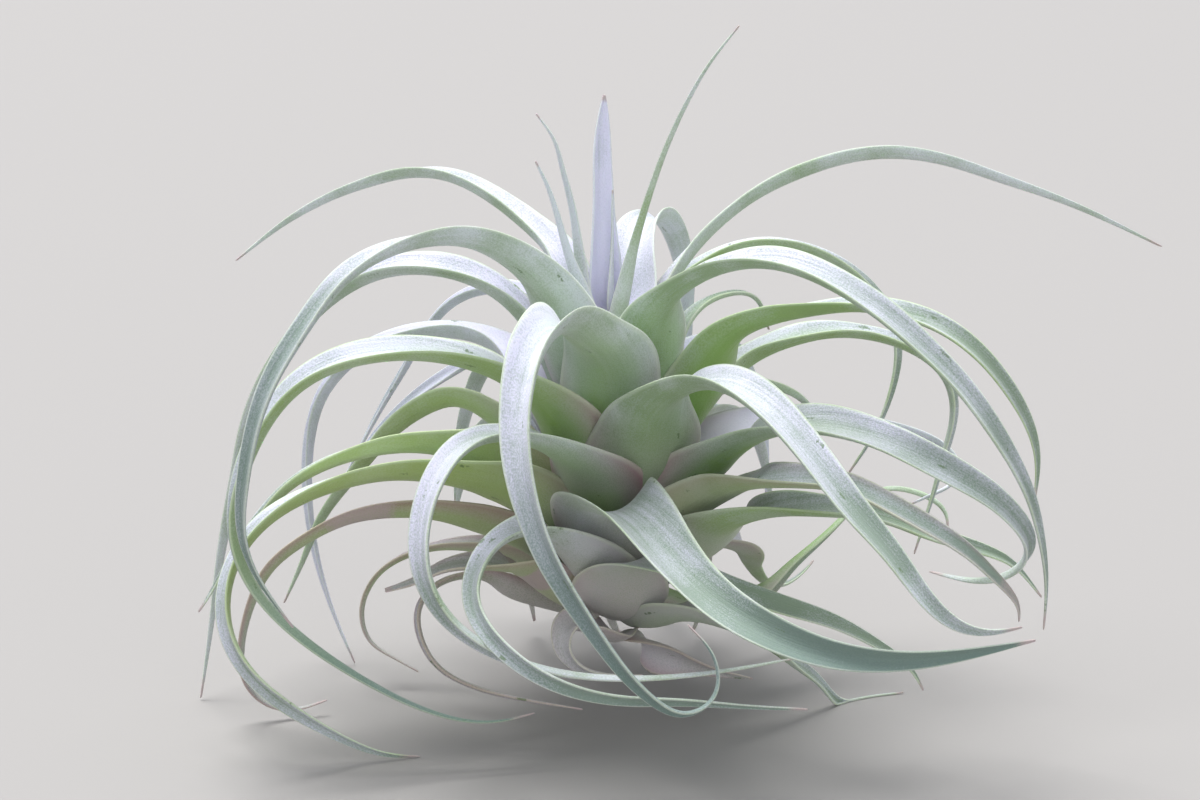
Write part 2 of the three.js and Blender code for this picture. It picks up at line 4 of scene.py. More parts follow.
import bpy
import numpy as np
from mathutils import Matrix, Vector


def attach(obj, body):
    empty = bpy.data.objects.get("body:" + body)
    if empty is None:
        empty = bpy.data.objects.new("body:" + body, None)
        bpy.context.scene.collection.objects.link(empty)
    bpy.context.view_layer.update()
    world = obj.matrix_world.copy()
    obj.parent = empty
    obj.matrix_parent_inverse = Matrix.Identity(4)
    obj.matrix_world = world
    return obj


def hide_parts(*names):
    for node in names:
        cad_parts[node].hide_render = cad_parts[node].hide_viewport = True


# An air plant: a rosette of frosted, channelled leaves that arch over and curl under.
# Leaf routes are in millimetres about the bulb, as they were drawn; the pieces are in metres.
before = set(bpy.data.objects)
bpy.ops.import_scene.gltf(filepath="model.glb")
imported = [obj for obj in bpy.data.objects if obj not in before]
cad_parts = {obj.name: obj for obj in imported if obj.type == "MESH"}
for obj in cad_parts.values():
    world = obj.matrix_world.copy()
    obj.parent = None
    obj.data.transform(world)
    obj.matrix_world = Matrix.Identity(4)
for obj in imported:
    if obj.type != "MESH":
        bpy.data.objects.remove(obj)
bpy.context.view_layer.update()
bpy.ops.object.select_all(action="DESELECT")
print("frame loaded:", len(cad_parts), "nodes")

mm = 0.001
plantShift = np.array([-22.83, 6.58, 0.0])  # brings the middle of the plant's outline over the origin


def rgb(red, green, blue):
    # A colour as it is seen, 0 to 255, as the linear colour that a shader reads.
    seen = [value / 255 for value in (red, green, blue)]
    linear = [v / 12.92 if v <= 0.04045 else ((v + 0.055) / 1.055) ** 2.4 for v in seen]
    return (*linear, 1.0)


# Camera. Lengths are in millimetres, and the elevation is in degrees.

view = {
    "target": (-22.83, 6.58, 76.0),
    "elevation": 14.0,
    "distance": 800.0,
    "lens": 100.0,
    "sensor": 36.0,
    "clip": (50.0, 50000.0),
}


def addCamera():
    tilt = math.radians(view["elevation"])
    target = Vector(view["target"]) * mm
    back = Vector((0, -math.cos(tilt), math.sin(tilt)))
    bpy.ops.object.camera_add(location=target + back * view["distance"] * mm)
    camera = bpy.context.object
    camera.name = "camera"
    camera.rotation_euler = (math.pi / 2 - tilt, 0, 0)
    camera.data.lens = view["lens"]
    camera.data.sensor_width = view["sensor"]
    camera.data.clip_start, camera.data.clip_end = [end * mm for end in view["clip"]]
    bpy.context.scene.camera = camera


addCamera()
print("camera placed")


# Nodes

def feed(tree, node, inputs):
    for socket, value in inputs.items():
        if isinstance(value, bpy.types.NodeSocket):
            tree.links.new(value, node.inputs[socket])
        else:
            node.inputs[socket].default_value = value


def addNode(tree, kind, inputs=None, **settings):
    node = tree.nodes.new("ShaderNode" + kind)
    for key, value in settings.items():
        setattr(node, key, value)
    feed(tree, node, inputs or {})
    return node


def calc(tree, operation, first, second=0.0, clamp=False):
    inputs = {0: first, 1: second}
    return addNode(tree, "Math", inputs, operation=operation, use_clamp=clamp).outputs[0]


def ramp(tree, value, low, high):
    inputs = {0: value, 1: low, 2: high}
    return addNode(tree, "MapRange", inputs, interpolation_type="SMOOTHSTEP").outputs[0]


def weighed(tree, first, firstShare, second, secondShare):
    firstPart = calc(tree, "MULTIPLY", first, firstShare)
    secondPart = calc(tree, "MULTIPLY", second, secondShare)
    return calc(tree, "ADD", firstPart, secondPart)


def centred(tree, value, contrast):
    # A value between 0 and 1, as a step up or down from nothing.
    return calc(tree, "MULTIPLY", calc(tree, "SUBTRACT", value, 0.5), contrast)


def blendColour(tree, amount, under, over):
    inputs = {0: amount, 6: under, 7: over}
    return addNode(tree, "Mix", inputs, data_type="RGBA").outputs[2]


def noise(tree, place, scale, detail):
    return addNode(tree, "TexNoise", {"Vector": place, "Scale": scale, "Detail": detail})


def newGroup(name, place, numbers, outputs):
    group = bpy.data.node_groups.new(name, "ShaderNodeTree")
    if place:
        group.interface.new_socket(place, in_out="INPUT", socket_type="NodeSocketVector")
    for label, value in numbers.items():
        socket = group.interface.new_socket(label, in_out="INPUT", socket_type="NodeSocketFloat")
        socket.default_value = value
    for label in outputs:
        group.interface.new_socket(label, in_out="OUTPUT", socket_type="NodeSocketFloat")
    entry = group.nodes.new("NodeGroupInput")
    leave = group.nodes.new("NodeGroupOutput")
    return group, entry.outputs, leave.inputs


def useGroup(tree, group, inputs):
    return addNode(tree, "Group", inputs, node_tree=group).outputs


def scaled(tree, vector, factors):
    inputs = {"Vector": vector, "Scale": factors}
    return addNode(tree, "Mapping", inputs, vector_type="POINT").outputs[0]


# Effects that the finishes share. Between the two values of a span an effect comes in. A stretch
# is how often a pattern repeats in a metre, across the leaf and along it.

plainContrast = 0.5

frostFacts = {
    "grain": 4200.0, "grainSpan": (0.36, 0.66), "grainShare": 0.76,
    "clumpScale": 0.42, "clumpSpan": (0.34, 0.68), "clumpShare": 0.24,
}


def makeFrost():
    # Tiny pale scales that cover a leaf, as grains of two sizes.
    numbers = {"Grain": frostFacts["grain"], "Contrast": plainContrast}
    group, entry, leave = newGroup("frostGrains", "Place", numbers, ["Mask", "Height"])
    fine = noise(group, entry["Place"], entry["Grain"], 2.0)
    clumpGrain = calc(group, "MULTIPLY", entry["Grain"], frostFacts["clumpScale"])
    coarse = noise(group, entry["Place"], clumpGrain, 1.0)
    grains = ramp(group, fine.outputs[0], *frostFacts["grainSpan"])
    clumps = ramp(group, coarse.outputs[0], *frostFacts["clumpSpan"])
    both = weighed(group, grains, frostFacts["grainShare"], clumps, frostFacts["clumpShare"])
    group.links.new(centred(group, both, entry["Contrast"]), leave["Mask"])
    group.links.new(both, leave["Height"])
    return group


streakFacts = {
    "lineStretch": (1500.0, 34.0, 1.0), "lineSpan": (0.32, 0.68), "lineShare": 0.5,
    "bandStretch": (420.0, 14.0, 1.0), "bandSpan": (0.3, 0.7), "bandShare": 0.5,
    "rootSpan": (0.015, 0.055),  # metres from the root, where the sheath is still smooth
}


def makeStreaks():
    # Fine lines that run along a leaf, over broader and softer bands.
    numbers = {"Contrast": plainContrast}
    group, entry, leave = newGroup("leafStreaks", "Along leaf", numbers, ["Mask", "Height"])
    fineWay = scaled(group, entry["Along leaf"], streakFacts["lineStretch"])
    broadWay = scaled(group, entry["Along leaf"], streakFacts["bandStretch"])
    lines = ramp(group, noise(group, fineWay, 1.0, 2.0).outputs[0], *streakFacts["lineSpan"])
    bands = ramp(group, noise(group, broadWay, 1.0, 1.0).outputs[0], *streakFacts["bandSpan"])
    both = weighed(group, lines, streakFacts["lineShare"], bands, streakFacts["bandShare"])
    fromRoot = addNode(group, "SeparateXYZ", {0: entry["Along leaf"]}).outputs[1]
    free = ramp(group, fromRoot, *streakFacts["rootSpan"])
    spread = centred(group, both, entry["Contrast"])
    group.links.new(calc(group, "MULTIPLY", spread, free), leave["Mask"])
    group.links.new(calc(group, "MULTIPLY", lines, free), leave["Height"])
    return group


cloudFacts = {"scale": 70.0, "span": (0.3, 0.7)}


def makeClouds():
    # Broad patches of greener and greyer tissue.
    numbers = {"Size": cloudFacts["scale"], "Contrast": plainContrast}
    group, entry, leave = newGroup("leafClouds", "Place", numbers, ["Mask"])
    patches = noise(group, entry["Place"], entry["Size"], 3.0)
    soft = ramp(group, patches.outputs[0], *cloudFacts["span"])
    group.links.new(centred(group, soft, entry["Contrast"]), leave["Mask"])
    return group


marginStart = 0.9  # share of the way from a leaf's middle to its edge


def makePaleEdgeAndHighlight():
    # The thin pale line down both sides of a leaf: partly its own pale edging and partly a painted
    # highlight where the edges catch the light.
    numbers = {"Across": 0.0, "Start": marginStart}
    group, entry, leave = newGroup("paleEdgeAndHighlight", None, numbers, ["Mask"])
    side = calc(group, "ABSOLUTE", entry["Across"])
    group.links.new(ramp(group, side, entry["Start"], 1.0), leave["Mask"])
    return group


nickFacts = {
    "rarity": 0.95, "stretch": (900.0, 210.0, 1.0), "span": (0.62, 0.38),
    "roughScale": 1400.0, "crowding": 0.6, "roughness": 0.5,
}


def makeNicks():
    # Rare small scratches and rubbed spots, longer along the leaf than across it.
    # Where Marked is 1 they lie close together, and where it is -1 there are none.
    numbers = {"Marked": 0.0, "Rarity": nickFacts["rarity"]}
    group, entry, leave = newGroup("leafNicks", "Along leaf", numbers, ["Mask"])
    way = scaled(group, entry["Along leaf"], nickFacts["stretch"])
    rough = noise(group, entry["Along leaf"], nickFacts["roughScale"], 3.0)
    bent = addNode(group, "VectorMath", {0: way, 1: rough.outputs["Color"]}, operation="ADD").outputs[0]
    cells = addNode(group, "TexVoronoi", {"Vector": bent, "Scale": 1.0, "Randomness": 1.0})
    draw = addNode(group, "SeparateColor", {0: cells.outputs["Color"]}).outputs[0]
    crowding = calc(group, "MULTIPLY", entry["Marked"], nickFacts["crowding"])
    chosen = calc(group, "GREATER_THAN", draw, calc(group, "SUBTRACT", entry["Rarity"], crowding))
    unevenness = calc(group, "MULTIPLY", rough.outputs[0], nickFacts["roughness"])
    spot = ramp(group, calc(group, "ADD", cells.outputs["Distance"], unevenness), *nickFacts["span"])
    group.links.new(calc(group, "MULTIPLY", spot, chosen), leave["Mask"])
    return group


frostGrains = makeFrost()
leafStreaks = makeStreaks()
leafClouds = makeClouds()
paleEdgeAndHighlight = makePaleEdgeAndHighlight()
leafNicks = makeNicks()
print("node groups made")


# Leaf finishes. frostFrom names the attribute that the frost follows, and frostShift is added to
# it. cloud, grain and streak are the contrasts of the shared effects.

upperSide = {"frostFrom": "frost", "cloud": 0.35}
lowerSide = {"frostFrom": "frostBelow", "cloud": 0.6}
# The margin colour of each finish is that pale edge line, partly the leaf's own edging and partly a
# painted highlight.
leafFinishes = {
    "silverUpper": {
        **upperSide, "frostShift": 0.02, "grain": 0.4, "streak": 0.45, "roughness": 0.62, "sheen": 0.3,
        "frost": rgb(221, 220, 236), "flesh": rgb(142, 158, 144), "margin": rgb(222, 228, 216),
    },
    "silverLower": {
        **lowerSide, "frostShift": 0.0, "grain": 0.35, "streak": 0.3, "roughness": 0.6, "sheen": 0.25,
        "frost": rgb(208, 214, 216), "flesh": rgb(148, 170, 132), "margin": rgb(214, 222, 202),
    },
    "lilacUpper": {
        **upperSide, "frostShift": 0.3, "grain": 0.3, "streak": 0.35, "roughness": 0.62, "sheen": 0.3,
        "frost": rgb(223, 222, 240), "flesh": rgb(168, 182, 178), "margin": rgb(222, 226, 222),
    },
    # This finish's frost shift and pale frost colour lighten lilac faces that lie in shade: partly
    # painted light, partly the leaves' own lilac-white frost.
    "lilacLower": {
        **lowerSide, "frostShift": 0.25, "grain": 0.3, "streak": 0.3, "roughness": 0.62, "sheen": 0.25,
        "frost": rgb(222, 225, 238), "flesh": rgb(172, 186, 174), "margin": rgb(214, 220, 210),
    },
    "greenUpper": {
        **upperSide, "frostShift": 0.02, "grain": 0.4, "streak": 0.45, "roughness": 0.6, "sheen": 0.3,
        "frost": rgb(217, 218, 232), "flesh": rgb(140, 158, 136), "margin": rgb(218, 226, 206),
    },
    "greenLower": {
        **lowerSide, "frostShift": -0.1, "grain": 0.35, "streak": 0.3, "roughness": 0.56, "sheen": 0.2,
        "frost": rgb(198, 210, 198), "flesh": rgb(152, 180, 116), "margin": rgb(214, 224, 196),
    },
    "oldUpper": {
        **upperSide, "frostShift": 0.1, "grain": 0.45, "streak": 0.7, "roughness": 0.72, "sheen": 0.25,
        "frost": rgb(212, 209, 218), "flesh": rgb(158, 160, 150), "margin": rgb(212, 210, 196),
    },
    "oldLower": {
        **lowerSide, "frostShift": 0.05, "grain": 0.5, "streak": 0.6, "roughness": 0.7, "sheen": 0.2,
        "frost": rgb(204, 200, 198), "flesh": rgb(158, 164, 134), "margin": rgb(210, 210, 186),
    },
}
leafStains = {
    "fresh": rgb(138, 178, 88),
    "blush": rgb(172, 124, 134),
    "bulb": rgb(206, 200, 198),
    "dry": rgb(190, 172, 172),
    # Partly painted shade: a darker grey green laid on the hanging ends of the leaves, towards their
    # tips.
    "greyTipAndShade": rgb(104, 126, 120),
    "yellow": rgb(172, 190, 112),
    "nick": rgb(92, 118, 72),
}
leafSkin = {
    "grainStretch": (1.0, 0.5, 1.0),  # draws the frost's grains out along the leaf
    "grey": 0.8, "fresh": 0.7, "margin": 0.42, "nick": 0.7, "dry": 0.9, "drySpan": (0.25, 0.85),
    "patchiness": 0.5, "grainRelief": 0.6, "reliefStrength": 0.55, "reliefDepth": 0.00012,
}


def attribute(tree, name):
    return addNode(tree, "Attribute", attribute_name=name).outputs["Fac"]


def newMaterial(name):
    material = bpy.data.materials.new(name)
    material.use_nodes = True
    return material, material.node_tree, material.node_tree.nodes["Principled BSDF"]


def leafMaterial(name, facts):
    material, tree, shader = newMaterial(name)
    place = addNode(tree, "TexCoord").outputs["Object"]
    way = addNode(tree, "UVMap", uv_map="leafUV").outputs[0]
    grainPlace = scaled(tree, way, leafSkin["grainStretch"])
    grains = useGroup(tree, frostGrains, {"Place": grainPlace, "Contrast": facts["grain"]})
    streaks = useGroup(tree, leafStreaks, {"Along leaf": way, "Contrast": facts["streak"]})
    clouds = useGroup(tree, leafClouds, {"Place": place, "Contrast": facts["cloud"]})
    margin = useGroup(tree, paleEdgeAndHighlight, {"Across": attribute(tree, "across")})
    nicks = useGroup(tree, leafNicks, {"Along leaf": way, "Marked": attribute(tree, "marked")})
    frost = calc(tree, "ADD", attribute(tree, facts["frostFrom"]), facts["frostShift"])
    frost = calc(tree, "ADD", frost, grains["Mask"])
    frost = calc(tree, "ADD", frost, streaks["Mask"])
    frost = calc(tree, "ADD", frost, clouds["Mask"], clamp=True)
    greyShare = calc(tree, "ADD", grains["Mask"], leafSkin["grey"])
    freshShare = calc(tree, "ADD", clouds["Mask"], leafSkin["fresh"])
    patches = calc(tree, "MULTIPLY", grains["Mask"], leafSkin["patchiness"])
    greyTipAndShadeAmount = calc(tree, "SUBTRACT", attribute(tree, "greyTipAndShade"), patches)
    dryness = ramp(tree, calc(tree, "ADD", attribute(tree, "dry"), patches), *leafSkin["drySpan"])
    # Each colour is laid over those before it.
    stains = [
        (frost, facts["frost"]),
        (calc(tree, "MULTIPLY", attribute(tree, "bulb"), greyShare, clamp=True), leafStains["bulb"]),
        # A darker grey green towards the tip: partly the leaf's own colour, partly painted shade.
        (calc(tree, "MAXIMUM", greyTipAndShadeAmount, 0.0), leafStains["greyTipAndShade"]),
        (calc(tree, "MULTIPLY", attribute(tree, "fresh"), freshShare, clamp=True), leafStains["fresh"]),
    ]
    if facts["frostFrom"] == "frostBelow":
        stains.append((attribute(tree, "yellow"), leafStains["yellow"]))
    stains += [
        (attribute(tree, "blush"), leafStains["blush"]),
        # The pale edge line: partly the leaf's own edging, partly a painted highlight.
        (calc(tree, "MULTIPLY", margin["Mask"], leafSkin["margin"]), facts["margin"]),
        (calc(tree, "MULTIPLY", nicks["Mask"], leafSkin["nick"]), leafStains["nick"]),
        (calc(tree, "MULTIPLY", dryness, leafSkin["dry"]), leafStains["dry"]),
    ]
    colour = facts["flesh"]
    for amount, stain in stains:
        colour = blendColour(tree, amount, colour, stain)
    ridges = calc(tree, "MULTIPLY", grains["Height"], leafSkin["grainRelief"])
    ridges = calc(tree, "ADD", ridges, streaks["Height"])
    bump = addNode(tree, "Bump", {
        "Height": ridges,
        "Strength": leafSkin["reliefStrength"],
        "Distance": leafSkin["reliefDepth"],
    })
    feed(tree, shader, {
        "Base Color": colour,
        "Roughness": facts["roughness"],
        "Sheen Weight": facts["sheen"],
        "Sheen Roughness": 0.45,
        "Specular IOR Level": 0.35,
        "Subsurface Weight": 0.12,
        "Subsurface Scale": 0.0012,
        "Subsurface Radius": (0.7, 1.0, 0.5),
        "Normal": bump.outputs[0],
    })
    return material


leafMaterials = {name: leafMaterial(name, facts) for name, facts in leafFinishes.items()}
print("leaf materials made")


# Leaves. rootHeight is where a leaf leaves the stem, base and blade are its widths in the sheath
# and in the blade, and route is what its midline passes through after the root. twist turns the
# blade about its midline, in degrees at even steps from root to tip. fall, fallPower, taper, round
# and cup take the place of leafShape's values for one leaf. All from tone on is its tints: frost
# on its upper face and frostBelow on its lower one, fresh green, bulb grey and a blush near the
# root, rim for a blush all along the edges, a darker grey green towards the tip that is partly the
# leaf's own colour and partly painted shade on the hanging ends, and yellow on the lower face. A
# clean leaf has no nicks.
# A mark is a rubbed place: millimetres from the root, share of the way across, and reach.
# A dry patch is the two shares of the length that it lies between, and its strength.

# The heart leaves' frost is set high partly as painted light: it brightens their upright faces, which
# get little of the light from above.
heartTints = {"tone": "silver", "clean": True, "frost": 1.2, "frostBelow": 0.8, "blush": 0.1}
heartLeaves = [
    {"rootHeight": 85, "base": 8, "blade": 5.4, "taper": 7, "tone": "lilac", "clean": True,
     "frost": 1.3, "frostBelow": 0.8, "blush": 0.0,
     "route": [(0, 2, 100), (0, 3, 112), (0, 4, 124), (0, 5, 136), (1, 6, 149)]},
    {"rootHeight": 80, "base": 5, "blade": 2.3, **heartTints, "frostBelow": 0.5, "yellow": 0.15,
     "route": [(4, -4, 91), (6, -4, 102), (8.5, -5, 115), (11.5, -6, 126), (15, -8, 137),
      (19.5, -10, 148), (25, -12, 158.5), (32, -14, 168)]},
    {"rootHeight": 88, "base": 4, "blade": 1.4, **heartTints,
     "route": [(3, 0, 101), (3, 1, 114), (3, 1, 127)]},
    {"rootHeight": 82, "base": 6.5, "blade": 4.2, "taper": 2.2, **heartTints,
     "route": [(-4, -1, 94), (-5, -1, 104), (-6, -1, 115), (-7, -1, 123), (-9, -2, 132), (-11, -3, 140),
      (-15, -4, 146)]},
    {"rootHeight": 78, "base": 5.5, "blade": 3.3, "taper": 2.2, **heartTints,
     "route": [(-3, -8, 93), (-5, -9, 104), (-8, -10, 114), (-10, -10, 122), (-12, -10, 129),
      (-15, -11, 136)]},
    {"rootHeight": 84, "base": 4.5, "blade": 2, **heartTints,
     "route": [(-3, -5, 96), (-5, -6, 106), (-7, -6, 113), (-9, -6, 120)]},
    {"rootHeight": 76, "base": 13, "blade": 12, "fall": 24, "tone": "silver", "frostBelow": 0.8,
     "blush": 0.1,
     "route": [(6, 6, 88), (8, 10, 99), (8, 14, 107), (10, 22, 113), (14, 32, 114), (18, 41, 108),
      (21, 48, 97), (22, 53, 84), (23, 56, 70)]},
]

highLeaves = [
    {"rootHeight": 57, "base": 22, "blade": 10.5, "fall": 52, "fallPower": 3, "round": 2,
     "cup": [0.2, 0.3, 0.66, 0.38, 0.3, 0.25], "tone": "silver", "frostBelow": 0.65, "fresh": 0.8,
     "greyTipAndShade": 0.8,
     "route": [(2, -14, 68), (2, -20, 79), (1, -27, 90), (-4, -38, 98), (-9.5, -50, 104),
      (-14, -60, 101), (-16.5, -69, 93), (-16.5, -77, 81), (-12, -83, 65), (-2, -87, 48), (9, -90, 34),
      (18, -90, 28), (25, -87, 31), (25, -84, 39), (19, -82, 46)]},
    {"rootHeight": 70, "base": 13, "blade": 11, "fall": 30, "tone": "silver",
     "route": [(-6, 6, 85), (-8, 10, 97), (-10, 14, 107), (-18, 20, 114), (-27, 26, 120),
      (-37, 32, 124), (-47, 37, 124), (-57, 41, 121), (-67, 44, 117), (-79, 47, 110), (-92, 49, 100)]},
    {"rootHeight": 70, "base": 10, "blade": 6.5, "fall": 30, "twist": [0, -35, -45, -35, -20],
     "tone": "silver", "fresh": 0.25,
     "route": [(10, 4, 87), (16, 7, 100), (22, 12, 109), (30, 18, 116), (38, 24, 121), (49, 31, 125),
      (62, 38, 128), (75, 44, 128), (88, 49, 125), (101, 53, 120), (117, 57, 114), (130, 60, 108),
      (144, 62, 101)]},
    {"rootHeight": 65, "base": 17, "blade": 11, "fall": 40, "twist": [0, 25, 20, 0, -15, -25],
     "tone": "silver", "frostBelow": 0.8, "fresh": 0.3, "greyTipAndShade": 0.5, "marks": [(52, 0.1, 1.6)],
     "route": [(-5, -11, 81), (-8, -16, 95), (-13, -21, 107), (-22, -27, 116), (-30, -33, 121),
      (-38, -39, 122), (-47, -45, 121), (-57, -51, 116), (-65, -56, 106), (-73, -60, 94),
      (-77, -62, 82), (-79, -63, 71), (-80, -63, 61), (-77, -62, 51), (-69, -60, 38)]},
    {"rootHeight": 62, "base": 19, "blade": 11.5, "fall": 40, "tone": "silver", "frostBelow": 0.2,
     "fresh": 0.5, "marks": [(62, 0.2, 1.6), (58, -0.8, 5), (72, -0.85, 5)],
     "route": [(12, -8, 76), (14, -14, 90), (14, -22, 102), (21, -28, 110), (28, -35, 115),
      (37, -42, 118), (46, -48, 117), (54, -54, 114), (63, -58, 109), (70, -61, 103), (78, -63, 96),
      (85, -64, 87), (91, -63, 78), (96, -61, 68), (99, -58, 57), (101, -55, 47), (101, -52, 35)]},
    {"rootHeight": 58, "base": 14, "blade": 12, "fall": 34, "tone": "silver",
     "route": [(-10, 3, 75), (-16, 4, 90), (-22, 2, 99), (-31, 2, 105), (-41, 3, 107), (-51, 5, 106),
      (-61, 7, 101), (-70, 8, 93), (-78, 9, 83), (-84, 9, 71), (-87, 9, 60), (-90, 8, 46), (-93, 6, 32),
      (-95, 4, 18), (-98, 0, 0.5)]},
    {"rootHeight": 64, "base": 10, "blade": 8, "fall": 30, "twist": [0, -20, 0, 50, 60],
     "tone": "green", "fresh": 0.4,
     "route": [(6, 12, 80), (11, 20, 92), (22, 25, 101), (32, 30, 106), (43, 34, 107), (54, 38, 104),
      (64, 41, 98), (72, 42, 89), (75, 42, 79), (73, 40, 67), (69, 37, 58), (62, 33, 48)]},
    {"rootHeight": 58, "base": 10, "blade": 6, "tone": "green", "fresh": 0.4,
     "route": [(12, 5, 70), (17, 8, 80), (19, 12, 88), (25, 18, 95), (34, 24, 97), (39, 29, 94),
      (42, 32, 86)]},
    {"rootHeight": 66, "base": 8, "blade": 8, "twist": [0, 0, -20, -45, -50], "tone": "lilac",
     "route": [(-2, 10, 79), (-9, 19, 90), (-20, 27, 96), (-30, 34, 95), (-38, 39, 90), (-44, 42, 82),
      (-49, 44, 73), (-55, 46, 63), (-61, 47, 52), (-67, 46, 41)]},
]

middleLeaves = [
    {"rootHeight": 46, "base": 27, "blade": 15, "fall": 32, "tone": "silver", "frostBelow": 0.3,
     "blush": 0.6, "fresh": 0.5, "marks": [(27, 0.1, 3.5)],
     "route": [(10, -17, 56), (12, -24, 67), (13, -32, 79), (19, -42, 88), (27, -52, 92), (36, -62, 89),
      (46, -72, 80), (54, -78, 71), (63, -83, 62), (70, -86, 53), (77, -87, 47), (84, -86, 45),
      (92, -84, 46)]},
    {"rootHeight": 54, "base": 17, "blade": 10.5, "fall": 40, "twist": [0, -30, -20, 15, 35, 40],
     "tone": "green", "frostBelow": 0.2, "fresh": 0.9,
     "route": [(18, -10, 66), (23, -13, 78), (27, -17, 87), (30, -20, 95), (39, -23, 100),
      (50, -26, 103), (60, -30, 105), (70, -33, 104), (79, -35, 101), (87, -36, 95), (93, -36, 88),
      (98, -35, 80), (101, -33, 71), (101, -30, 59)]},
    {"rootHeight": 53, "base": 15, "blade": 9.5, "fall": 35, "twist": [0, 0, 0, 30, 60],
     "tone": "green", "fresh": 0.8,
     "route": [(16, 1, 63), (23, 1, 72), (30, 2, 79), (37, 3, 85), (45, 2, 89), (54, 4, 91),
      (65, 6, 90), (76, 8, 86), (84, 10, 79), (86, 11, 70), (84, 12, 60), (81, 11, 48), (77, 8, 35)]},
    {"rootHeight": 51, "base": 21, "blade": 11.5, "fall": 45, "tone": "green", "blush": 1.1,
     "fresh": 1.0, "yellow": 0.2, "greyTipAndShade": 0.85, "marks": [(26, 0.6, 3)],
     "route": [(-7, -12, 61), (-10, -17, 71), (-15, -22, 80), (-22, -27, 87), (-31, -31, 92),
      (-42, -35, 95), (-53, -38, 95), (-64, -40, 92), (-72, -42, 86), (-77, -44, 78), (-81, -46, 69),
      (-83, -48, 59), (-81, -50, 49), (-76, -51, 41), (-65, -52, 31), (-52, -52, 22), (-39, -51, 15),
      (-25, -49, 11), (-15, -46, 13)]},
    {"rootHeight": 55, "base": 13, "blade": 11, "fall": 34, "twist": [0, 0, -20, -45, -50],
     "tone": "lilac",
     "route": [(-11, -1, 64), (-17, 3, 76), (-22, 9, 84), (-31, 14, 88), (-39, 17, 88), (-48, 20, 86),
      (-57, 24, 82), (-64, 27, 76), (-69, 29, 69), (-72, 31, 58), (-73, 32, 45), (-72, 32, 31),
      (-68, 30, 15), (-62, 27, 0.5)]},
    {"rootHeight": 55, "base": 7, "blade": 7.5, "twist": [0, 0, -30, -45, -50], "tone": "lilac",
     "route": [(-4, 9, 67), (-9, 17, 79), (-20, 24, 84), (-36, 28, 76), (-48, 33, 67), (-56, 36, 59),
      (-62, 37, 51)]},
    {"rootHeight": 48, "base": 14, "blade": 11, "fall": 35, "twist": [0, 20, 20, 0, 0], "tone": "green",
     "fresh": 0.6, "yellow": 0.35,
     "route": [(-11, 0, 54), (-19, 0, 63), (-27, 0, 71), (-34, 1, 75), (-42, 3, 72), (-50, 5, 66),
      (-56, 6, 59), (-62, 6, 52), (-68, 5, 44), (-72, 3, 35), (-77, 0, 25)]},
    {"rootHeight": 43, "base": 24, "blade": 8.5, "fall": 34, "tone": "silver", "frost": 0.8,
     "blush": 1.1, "fresh": 0.75, "marks": [(60, 0.0, 1.2), (38, 0.8, 3)],
     "route": [(-1, -17, 52), (-4, -25, 62), (-11, -36, 72), (-21, -48, 79), (-30, -58, 80),
      (-36, -66, 74), (-39, -71, 64), (-38, -75, 53), (-32, -76, 44), (-22, -75, 37), (-9, -73, 32),
      (8, -71, 30), (25, -70, 31), (46, -68, 34)]},
    {"rootHeight": 40, "base": 22, "blade": 12.5, "fall": 40, "twist": [0, 0, 15, 20, 10, 0],
     "tone": "silver", "blush": 1.2, "fresh": 1.2,
     "route": [(17, -10, 48), (24, -16, 58), (30, -24, 67), (39, -34, 76), (49, -43, 80), (59, -50, 80),
      (68, -56, 78), (78, -60, 74), (87, -61, 69), (93, -60, 63), (97, -57, 56), (94, -52, 49),
      (87, -47, 45), (76, -39, 45)]},
    {"rootHeight": 50, "base": 12, "blade": 8, "twist": [0, -20, -20, 0], "tone": "green",
     "route": [(14, 7, 58), (21, 12, 68), (30, 16, 74), (40, 18, 75), (50, 23, 70), (53, 27, 63),
      (53, 27, 55)]},
    {"rootHeight": 43, "base": 17, "blade": 9, "fall": 30, "tone": "lilac",
     "route": [(15, 3, 51), (24, 5, 59), (35, 9, 65), (46, 14, 67), (59, 20, 66), (72, 22, 63),
      (82, 22, 60), (88, 20, 56), (88, 17, 51), (82, 14, 49), (75, 12, 46)]},
    {"rootHeight": 40, "base": 20, "blade": 11.5, "fall": 40, "twist": [0, 30, 30, 15, 0],
     "tone": "green", "fresh": 0.6, "yellow": 0.5,
     "route": [(-12, -4, 48), (-18, -7, 55), (-26, -12, 62), (-35, -18, 67), (-46, -21, 69),
      (-56, -23, 68), (-66, -25, 65), (-74, -26, 60), (-80, -26, 53), (-86, -25, 45), (-91, -24, 36),
      (-95, -23, 30)]},
]
